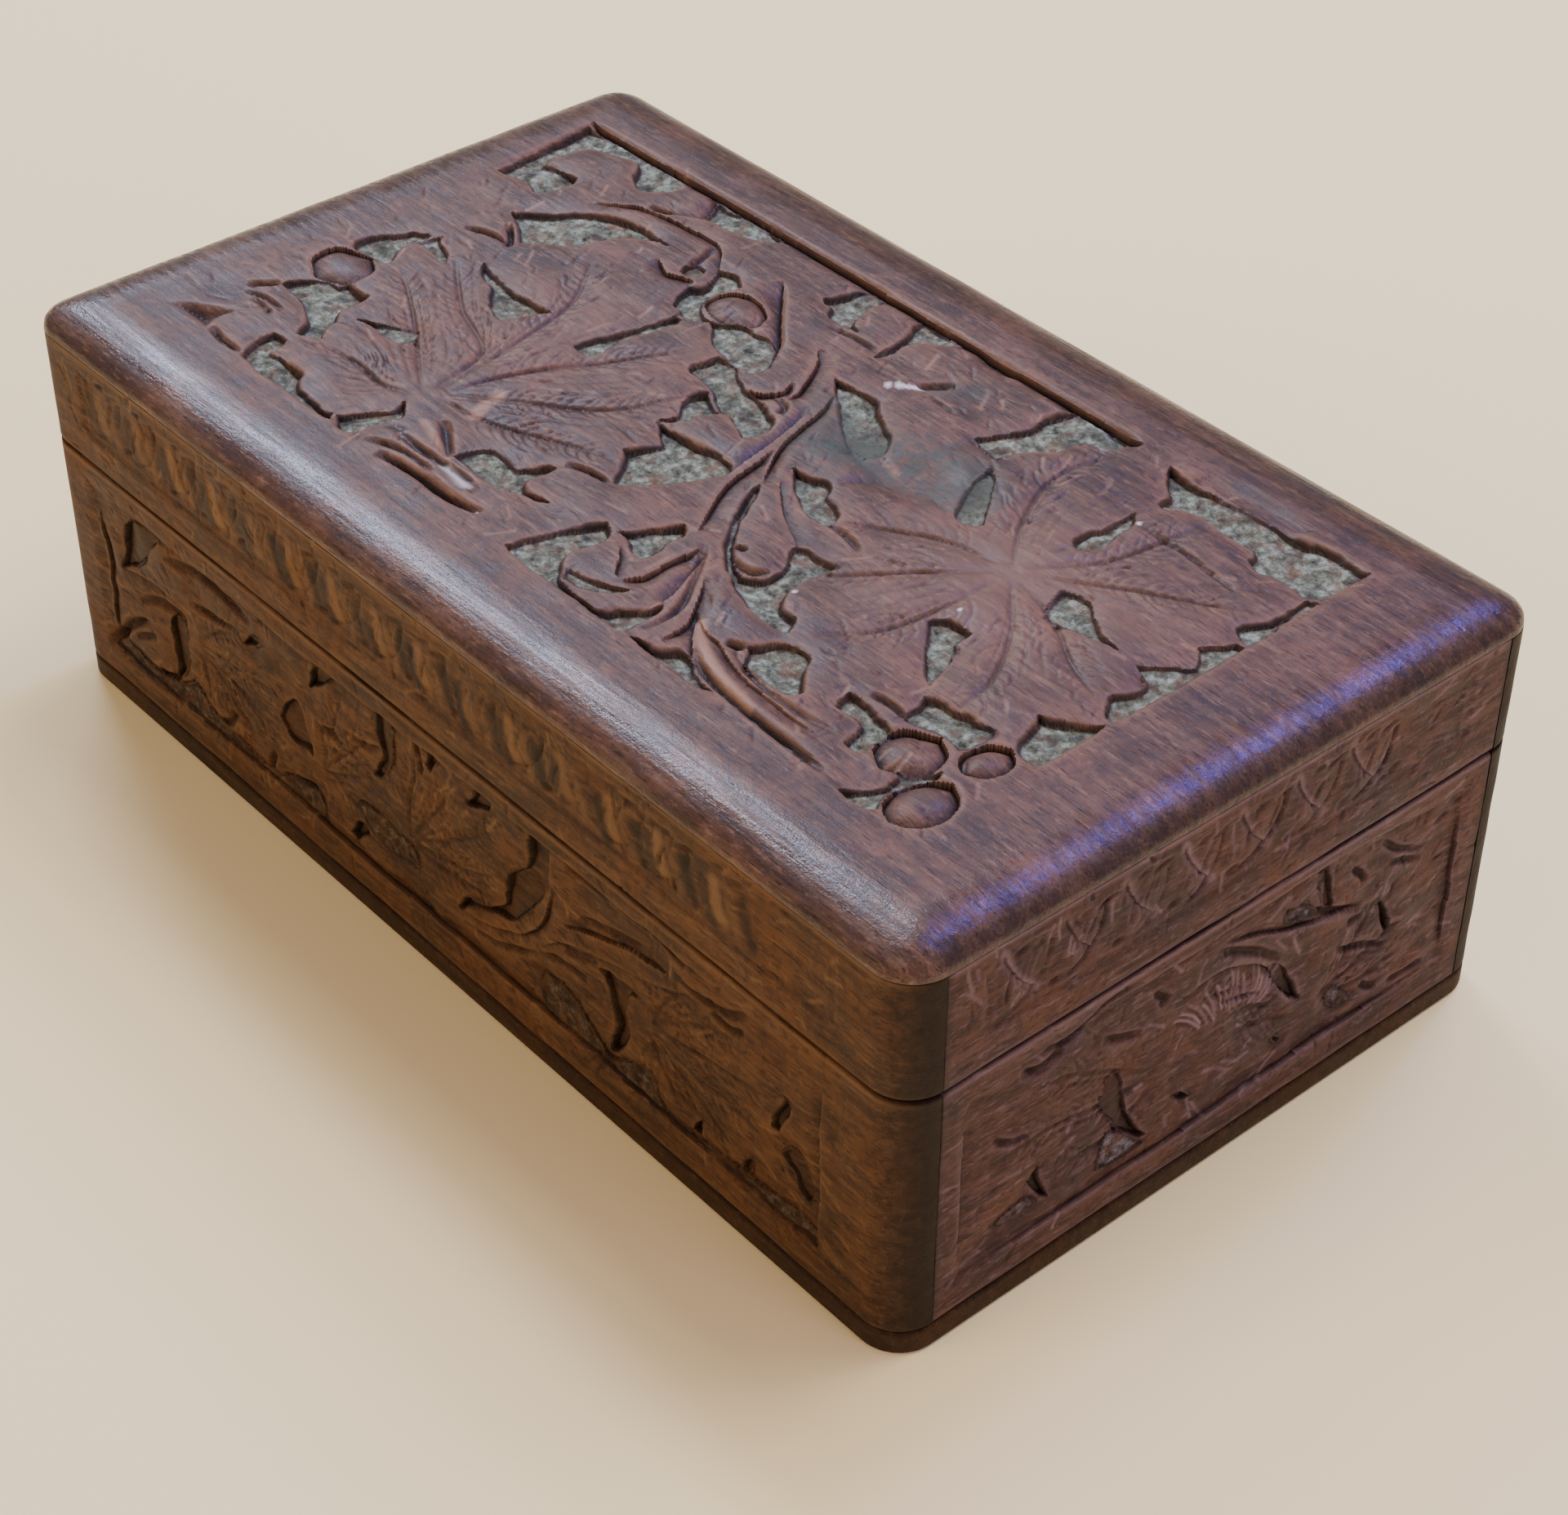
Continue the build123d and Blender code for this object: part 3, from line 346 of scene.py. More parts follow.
def smoothLine(points, closed=False, spacing=0.7):
    # A curve through the points that stays sharp where they turn by more than 60 degrees
    points = np.array(points, float)
    count = len(points)
    before = np.roll(points, 1, 0)
    after = np.roll(points, -1, 0)
    turnIn, turnOut = points - before, after - points
    cosine = np.sum(turnIn * turnOut, 1)
    cosine /= np.maximum(np.hypot(*turnIn.T) * np.hypot(*turnOut.T), tiny)
    sharp = cosine < 0.5
    tangent = (after - before) / 2
    if not closed:
        sharp[[0, -1]] = True
    line = []
    for i in range(count if closed else count - 1):
        j = (i + 1) % count
        start, end = points[i], points[j]
        chord = end - start
        leave = chord if sharp[i] else tangent[i]
        arrive = chord if sharp[j] else tangent[j]
        size = np.hypot(*chord)
        leave = leave * min(1, size / max(np.hypot(*leave), tiny))
        arrive = arrive * min(1, size / max(np.hypot(*arrive), tiny))
        t = np.arange(0, 1, 1 / max(1, math.ceil(size / spacing)))[:, None]
        line.append(
            (2 * t**3 - 3 * t**2 + 1) * start
            + (t**3 - 2 * t**2 + t) * leave
            + (3 * t**2 - 2 * t**3) * end
            + (t**3 - t**2) * arrive
        )
    line.append(points[:1] if closed else points[-1:])
    return np.concatenate(line)


def fromLine(line, u, v):
    # For each spot: the gap to the nearest point of the line, the side it lies on (1 is the line's
    # left) and how far along the line that point is, from 0 to 1
    steps = np.diff(line, axis=0)
    sizes = np.hypot(*steps.T)
    starts = np.concatenate([[0], np.cumsum(sizes)])
    best = np.full(u.shape, np.inf)
    gapU, gapV, side, along = np.zeros((4, *u.shape))
    for (x, y), (dx, dy), size, start in zip(line, steps, sizes, starts):
        if size < tiny:
            continue
        t = np.clip(((u - x) * dx + (v - y) * dy) / size**2, 0, 1)
        a, b = u - x - t * dx, v - y - t * dy
        distance = a * a + b * b
        nearer = distance < best
        best = np.where(nearer, distance, best)
        gapU, gapV = np.where(nearer, a, gapU), np.where(nearer, b, gapV)
        side = np.where(nearer, np.sign(dx * b - dy * a), side)
        along = np.where(nearer, start + t * size, along)
    return gapU, gapV, side, along / starts[-1]


def insideOutline(line, u, v):
    # A spot is inside where a ray from it to the right crosses the outline an odd number of times
    inside = np.zeros(u.shape, bool)
    for (x, y), (x2, y2) in zip(line[:-1], line[1:]):
        if y == y2:
            continue
        crosses = (y > v) != (y2 > v)
        inside ^= crosses & (u < x + (v - y) * (x2 - x) / (y2 - y))
    return inside


def soften(field, cells):
    # Three moving averages each way, close to a Gaussian blur
    span = 2 * cells + 1
    for axis in (0, 1):
        for _ in range(3):
            edges = [(cells + 1, cells) if a == axis else (0, 0) for a in (0, 1)]
            sums = np.cumsum(np.pad(field, edges, mode="edge"), axis=axis)
            field = (np.roll(sums, -span, axis) - sums) / span
            field = field[:-span] if axis == 0 else field[:, :-span]
    return field


def widen(mask, cells):
    # Grows a mask by that many spots each way
    grown = mask.copy()
    for _ in range(cells):
        padded = np.pad(grown, 1)
        grown = padded[1:-1, 1:-1] | padded[:-2, 1:-1] | padded[2:, 1:-1]
        padded = np.pad(grown, 1)
        grown = padded[1:-1, 1:-1] | padded[1:-1, :-2] | padded[1:-1, 2:]
    return grown


def unevenness(u, v, sizeU, sizeV, seed, cells=97):
    # Smooth random heights between -1 and 1, with bumps of that size, repeating after some cells
    lattice = np.random.default_rng(seed).uniform(-1, 1, (cells, cells))
    x, y = u / sizeU, v / sizeV
    i, j = np.floor(x).astype(int), np.floor(y).astype(int)
    s, t = x - i, y - j
    s, t = s * s * (3 - 2 * s), t * t * (3 - 2 * t)
    left, right, bottom, top = i % cells, (i + 1) % cells, j % cells, (j + 1) % cells
    low = lattice[bottom, left] * (1 - s) + lattice[bottom, right] * s
    high = lattice[top, left] * (1 - s) + lattice[top, right] * s
    return low * (1 - t) + high * t


# How far a pocket's walls lean and its rim strays, in millimetres. Its walls, floor and painted wall
# shade vary by a middle share, a spread around it and the size of the bumps. Dust starts at the walls'
# foot.
pocketCut = {
    "lean": 0.6, "ragged": 0.22, "raggedSize": 1.5, "walls": (1.1, 0.7, 4),
    "floor": (0.72, 0.28, 6), "wallShade": (0.78, 0.2, 5), "dustFrom": 0.85, "dustFade": 0.5,
}
# Where a board lies below or above the average of so many spots around it, it is painted darker
# with dirt and painted shade, or lighter with wear and painted highlights: fully so at this many
# millimetres, and never by more than the last number
shapeMarks = {"hollowDirtAndShade": (5, 1.4, 0.75), "nook": (2, 0.5, 0.8), "ridgeWearAndHighlight": (2, 0.3, 0.3)}


class Relief:
    # The face of a board as heights on a fine raster. Zero is the planed face, cuts are negative.

    def __init__(self, left, bottom, right, top, pitch=0.3):
        self.columns = round((right - left) / pitch) + 1
        self.rows = round((top - bottom) / pitch) + 1
        self.left, self.bottom, self.right, self.top = left, bottom, right, top
        self.step = np.array([(right - left) / (self.columns - 1), (top - bottom) / (self.rows - 1)])
        self.u, self.v = np.meshgrid(
            np.linspace(left, right, self.columns), np.linspace(bottom, top, self.rows)
        )
        self.cut, self.ground = np.zeros((2, *self.u.shape))
        self.rim, self.opened = np.zeros((2, *self.u.shape), bool)
        self.paint = {name: np.zeros(self.u.shape) for name in ("wornAndHighlit", "dirtAndShade", "pale", "smudge")}

    def window(self, line, reach):
        # The part of the raster within reach of a line, and its spots before any of them slid
        corner = (self.left, self.bottom)
        low = np.floor((line.min(0) - reach - corner) / self.step).astype(int)
        high = np.ceil((line.max(0) + reach - corner) / self.step).astype(int) + 1
        size = (self.columns, self.rows)
        (left, bottom), (right, top) = np.clip(low, 0, size), np.clip(high, 0, size)
        area = (slice(bottom, top), slice(left, right))
        u = self.left + np.arange(left, right) * self.step[0]
        v = self.bottom + np.arange(bottom, top) * self.step[1]
        return area, *np.meshgrid(u, v)

    def within(self, outline, reach):
        # How deep inside an outline each spot lies: 0 on the line, 1 from reach inwards
        line = smoothLine(outline, closed=True)
        area, u, v = self.window(line, 0)
        gapU, gapV, _, _ = fromLine(line, u, v)
        return area, np.clip(np.hypot(gapU, gapV) / reach, 0, 1), insideOutline(line, u, v)

    def beside(self, points, reach, taper, bluntness):
        # How near to a line each spot lies: 1 on it, 0 from reach outwards, fading at both ends
        line = smoothLine(points)
        area, u, v = self.window(line, reach)
        gapU, gapV, side, along = fromLine(line, u, v)
        fade = np.clip(np.minimum(along, 1 - along) / taper, 0, 1) ** bluntness
        return area, 1 - np.clip(np.hypot(gapU, gapV) / reach, 0, 1), fade, side, along

    def inset(self, left, bottom, right, top):
        # How far inside a rectangle each spot lies
        across = np.minimum(self.u - left, right - self.u)
        return np.minimum(across, np.minimum(self.v - bottom, top - self.v))

    def pocket(self, outline, depth, dusty=True):
        # A hand-cut pocket: its rim is ragged, its walls lean more or less and its ground is uneven.
        # Spots beside the rim and the foot slide onto them, so that the mesh has clean edges there.
        def varied(kind, seed):
            middle, spread, size = pocketCut[kind]
            return middle + spread * unevenness(u, v, size, size, seed)

        line = smoothLine(outline, closed=True)
        size = pocketCut["raggedSize"]
        jitter = [unevenness(*line.T, size, size, seed) for seed in (31, 32)]
        line = line + pocketCut["ragged"] * np.column_stack(jitter)
        area, u, v = self.window(line, 1)
        gapU, gapV, _, _ = fromLine(line, u, v)
        distance = np.hypot(gapU, gapV)
        inside = insideOutline(line, u, v)
        signed = np.where(inside, distance, -distance)
        lean = pocketCut["lean"] * varied("walls", 33)
        floor = -depth * varied("floor", 34)
        before = self.cut[area].copy()
        cut = np.where(inside, np.minimum(before, floor * np.clip(distance / lean, 0, 1)), before)
        half = self.step.mean() / 2
        atRim = (signed > -half) & (signed <= half)
        atFoot = (signed > lean - half) & (signed <= lean + half) & (before > floor)
        cut = np.where(atRim, before, cut)
        cut = np.where(atFoot, floor, cut)
        push = np.where(atFoot, lean / np.maximum(distance, 1e-6), 0)
        slide = atRim | atFoot
        self.u[area] = np.where(slide, u - gapU * (1 - push), self.u[area])
        self.v[area] = np.where(slide, v - gapV * (1 - push), self.v[area])
        self.cut[area] = cut
        self.rim[area] |= slide
        self.opened[area] |= inside
        # Painted shade darkens the walls, most of all half way down, and dust or dirt covers the ground; a
        # pocket without dust gets painted shade on its floor
        down = signed / lean
        shade = np.clip(0.4 + down, 0, 1) * np.clip(2 - down, 0, 1) * (signed > -half)
        shade *= varied("wallShade", 35)
        covered = (signed - lean * pocketCut["dustFrom"]) / pocketCut["dustFade"]
        covered = np.clip(covered, 0, 1)
        if dusty:
            self.ground[area] = np.maximum(self.ground[area], covered)
        else:
            shade = np.maximum(shade, 0.4 * covered)
        dirtAndShade = self.paint["dirtAndShade"]
        dirtAndShade[area] = np.maximum(dirtAndShade[area], shade)

    def brush(self, kind, points, reach, amount):
        # Lays wear, dirt, painted shade or painted highlights along a line, or round a single spot
        if len(points) > 1:
            line = smoothLine(points)
            area, u, v = self.window(line, reach)
            gapU, gapV, _, _ = fromLine(line, u, v)
        else:
            spot = np.array(points, float)
            area, u, v = self.window(spot, reach)
            gapU, gapV = u - spot[0, 0], v - spot[0, 1]
        layer = self.paint[kind]
        near = np.clip(1.5 * (1 - np.hypot(gapU, gapV) / reach), 0, 1)
        layer[area] = np.maximum(layer[area], amount * near)

    def roll(self, field, drop, radius):
        # Carved forms fall away towards the cuts around them; the plain margins stay level
        near = soften(self.opened.astype(float), round(radius / self.step.mean()))
        self.cut -= drop * near * ~self.opened * np.clip(self.inset(*field), 0, 1)

    def scoop(self, outline, depth, reach):
        # A hollow with soft sides
        area, t, inside = self.within(outline, reach)
        t = t * inside
        self.cut[area] -= depth * t * t * (3 - 2 * t)

    def dome(self, outline, drop, reach):
        # A region whose surface rounds down towards its edge
        area, t, inside = self.within(outline, reach)
        self.cut[area] -= drop * (1 - t) ** 2.2 * inside

    def swell(self, outline, rise, reach):
        # A region that rises softly out of lower wood
        area, t, inside = self.within(outline, reach)
        self.cut[area] += rise * np.sin(t * inside * math.pi / 2)

    def groove(self, points, depth, reach, taper=0.25):
        # A gouge line that fades at its ends
        area, t, fade, _, _ = self.beside(points, reach, taper, 0.6)
        self.cut[area] -= depth * t * t * (3 - 2 * t) * fade

    def crease(self, points, drop, reach, side, taper=0.2):
        # The surface steps down on one side of the line (1 is its left) and rises again further off
        area, t, fade, lies, along = self.beside(points, reach, taper, 0.7)
        inRun = (along > 0) & (along < 1)
        self.cut[area] -= drop * t**1.6 * fade * (lies == side) * inRun

    def wear(self, radius, allowance):
        # Sharp edges rub down: nothing stands far above its surroundings' average
        around = soften(self.cut, max(1, round(radius / self.step.mean())))
        self.cut = np.minimum(self.cut, around + allowance)

    def weather(self, pits, allowance, waves, waveSize, pitSeed, waveSeed):
        # Roughens the cut ground, rubs sharp edges down and makes the whole face a little wavy
        pitted = np.minimum(0, unevenness(self.u, self.v, 0.9, 0.9, pitSeed)) * pits
        self.cut += pitted * self.ground
        self.wear(0.6, allowance)
        self.cut += waves * (unevenness(self.u, self.v, *waveSize, waveSeed) - 1)

    def spots(self, fineLimit=0.045, middleLimit=0.03):
        # The raster spots that the mesh keeps: few on calm wood, all of them where the surface turns
        turn = np.abs(self.cut - soften(self.cut, 1))
        slow = np.abs(self.cut - soften(self.cut, 3))
        rows, columns = np.indices(self.cut.shape)
        fine = widen(turn > fineLimit, 1) | widen(self.rim, 1)
        middle = widen(slow > middleLimit, 2)
        keep = (rows % 4 == 0) & (columns % 4 == 0)
        keep |= middle & (rows % 2 == 0) & (columns % 2 == 0)
        keep |= fine
        edge = (rows == 0) | (rows == self.rows - 1) | (columns == 0) | (columns == self.columns - 1)
        keep &= ~edge
        keep |= edge & ((rows + columns) % 2 == 0)
        keep[[0, 0, -1, -1], [0, -1, 0, -1]] = True
        return keep

    def marks(self):
        # How hollow and how raised each spot is against the wood around it
        shape = {}
        for key, (cells, full, most) in shapeMarks.items():
            depth = soften(self.cut, cells) - self.cut
            shape[key] = np.clip((-depth if key == "ridgeWearAndHighlight" else depth) / full, 0, 1) * most
        hollowDirtAndShade = np.maximum(np.maximum(shape["hollowDirtAndShade"], shape["nook"]), self.paint["dirtAndShade"])
        # Raised spots and worn marks are painted lighter: wear and painted highlights
        ridgeWearAndHighlight = np.maximum(shape["ridgeWearAndHighlight"], self.paint["wornAndHighlit"])
        fields = {"ground": self.ground, "hollowDirtAndShade": hollowDirtAndShade * (1 - 0.5 * self.ground), "ridgeWearAndHighlight": ridgeWearAndHighlight}
        fields.update({key: self.paint[key] for key in self.paint if key not in ("wornAndHighlit", "dirtAndShade")})
        return fields


def triangulate(relief, place):
    # Joins the spots that the mesh keeps. place() maps (u, v, cut) to the box. Gives the points,
    # the triangles, the painted marks and where each point lies on the raster.
    keep = relief.spots()
    flat = np.column_stack([relief.u[keep], relief.v[keep]])
    joined = delaunay_2d_cdt([Vector(spot) for spot in flat.tolist()], [], [], 0, 1e-5)
    source = [origin[0] for origin in joined[3]]
    u, v = np.array(joined[0]).T
    points = place(u, v, relief.cut[keep][source])
    marks = {key: values[keep][source] for key, values in relief.marks().items()}
    rows, columns = [index[keep][source] for index in np.indices(relief.cut.shape)]
    return points, [tuple(face) for face in joined[2]], marks, (u, v, rows, columns)


def edgeRun(mask, order):
    # The numbers of the points on one edge of a face, in their order along it
    return np.flatnonzero(mask)[np.argsort(order[mask])].tolist()


def addBoard(name, points, faces, marks, carved, outside, body, node):
    # Makes a board's mesh. The first faces are carved and stained, and the rest are planed.
    mesh = bpy.data.meshes.new(name)
    mesh.from_pydata((np.array(points) * millimetre).tolist(), [], faces)
    painted = 0
    for key, values in marks.items():
        painted = len(values)
        layer = mesh.attributes.new(key, "FLOAT", "POINT")
        filled = np.zeros(len(points), np.float32)
        filled[:painted] = values
        layer.data.foreach_set("value", filled)
    mesh.materials.append(outside)
    mesh.materials.append(planedWalnut)
    mesh.polygons.foreach_set("material_index", (np.arange(len(faces)) >= carved).astype(np.int32))
    edit = bmesh.new()
    edit.from_mesh(mesh)
    edit.verts.ensure_lookup_table()
    bmesh.ops.remove_doubles(edit, verts=edit.verts[painted:], dist=1e-6)
    bmesh.ops.recalc_face_normals(edit, faces=edit.faces)
    edit.to_mesh(mesh)
    edit.free()
    mesh.polygons.foreach_set("use_smooth", [True] * len(mesh.polygons))
    mesh.set_sharp_from_angle(angle=sharpAngle)
    mesh.update()
    board = bpy.data.objects.new(name, mesh)
    bpy.context.collection.objects.link(board)
    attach(board, body)
    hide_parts(node)
    print(name, len(mesh.polygons), "faces")
    return board


def makeBoard(name, relief, place, innerCorners, outside, body, node):
    # Turns a relief into a closed board. innerCorners are the partners of the relief's corners on
    # the inner face: none where the face's own ends lie on it.
    points, faces, marks, (u, v, rows, columns) = triangulate(relief, place)
    bottom, top = edgeRun(rows == 0, u), edgeRun(rows == relief.rows - 1, u)
    left, right = edgeRun(columns == 0, v), edgeRun(columns == relief.columns - 1, v)
    carved, count = len(faces), len(points)
    if innerCorners is None:
        faces += [tuple(top), tuple(bottom[::-1]), tuple(left + right[::-1])]
    else:
        points = np.vstack([points, innerCorners])
        lowLeft, lowRight, highRight, highLeft = range(count, count + 4)
        faces.append(tuple(top + [highRight, highLeft]))
        faces.append(tuple(bottom[::-1] + [lowLeft, lowRight]))
        faces.append(tuple(left + [highLeft, lowLeft]))
        faces.append(tuple(right[::-1] + [lowRight, highRight]))
        faces.append((lowLeft, highLeft, highRight, lowRight))
    return addBoard(name, points, faces, marks, carved, outside, body, node)


# Where the flat faces lie on the box


def longFace(side):
    # Front (side -1) or back (side 1): round a corner, along the box and round the next corner.
    # u is measured along the box from its left end as seen from outside.
    straightEnd = length - cornerRadius

    def place(u, v, cut):
        before = np.clip(cornerRadius - u, 0, cornerRun) / cornerRadius
        after = np.clip(u - straightEnd, 0, cornerRun) / cornerRadius
        turn = after - before
        along = np.clip(u, cornerRadius, straightEnd) + cornerRadius * np.sin(turn) - length / 2
        out = width / 2 - cornerRadius + cornerRadius * np.cos(turn)
        x = along + cut * np.sin(turn)
        y = out + cut * np.cos(turn)
        return np.column_stack([-side * x, side * y, v])

    return place


def endFace(side):
    # Left (side -1) or right (side 1): flat, between the long boards
    def place(u, v, cut):
        return np.column_stack([side * (length / 2 + cut), side * (u - width / 2), v])

    return place


def longRelief(low, high):
    return Relief(cornerRadius - cornerRun, low, length - cornerRadius + cornerRun, high)


def endRelief(low, high):
    return Relief(thickness, low, width - thickness, high)


def endCorners(side, low, high):
    x = side * (length / 2 - thickness)
    near, far = -side * (width / 2 - thickness), side * (width / 2 - thickness)
    return np.array([(x, near, low), (x, far, low), (x, far, high), (x, near, high)])


def easeEdges(relief, top, bottom, ends, seed):
    # Rubs the arrises of a board's face round, a little unevenly
    def rounded(distance, radius):
        wobble = radius * (1 + 0.35 * unevenness(relief.u, relief.v, 9, 9, seed))
        t = np.clip(1 - distance / wobble, 0, 1)
        return wobble * (1 - np.sqrt(1 - t * t))

    relief.cut -= rounded(relief.top - relief.v, top)
    relief.cut -= rounded(relief.v - relief.bottom, bottom)
    if ends:
        relief.cut -= rounded(relief.u - relief.left, ends)
        relief.cut -= rounded(relief.right - relief.u, ends)


# The top of the lid. Its carved field is sunk between margins that stay plain.

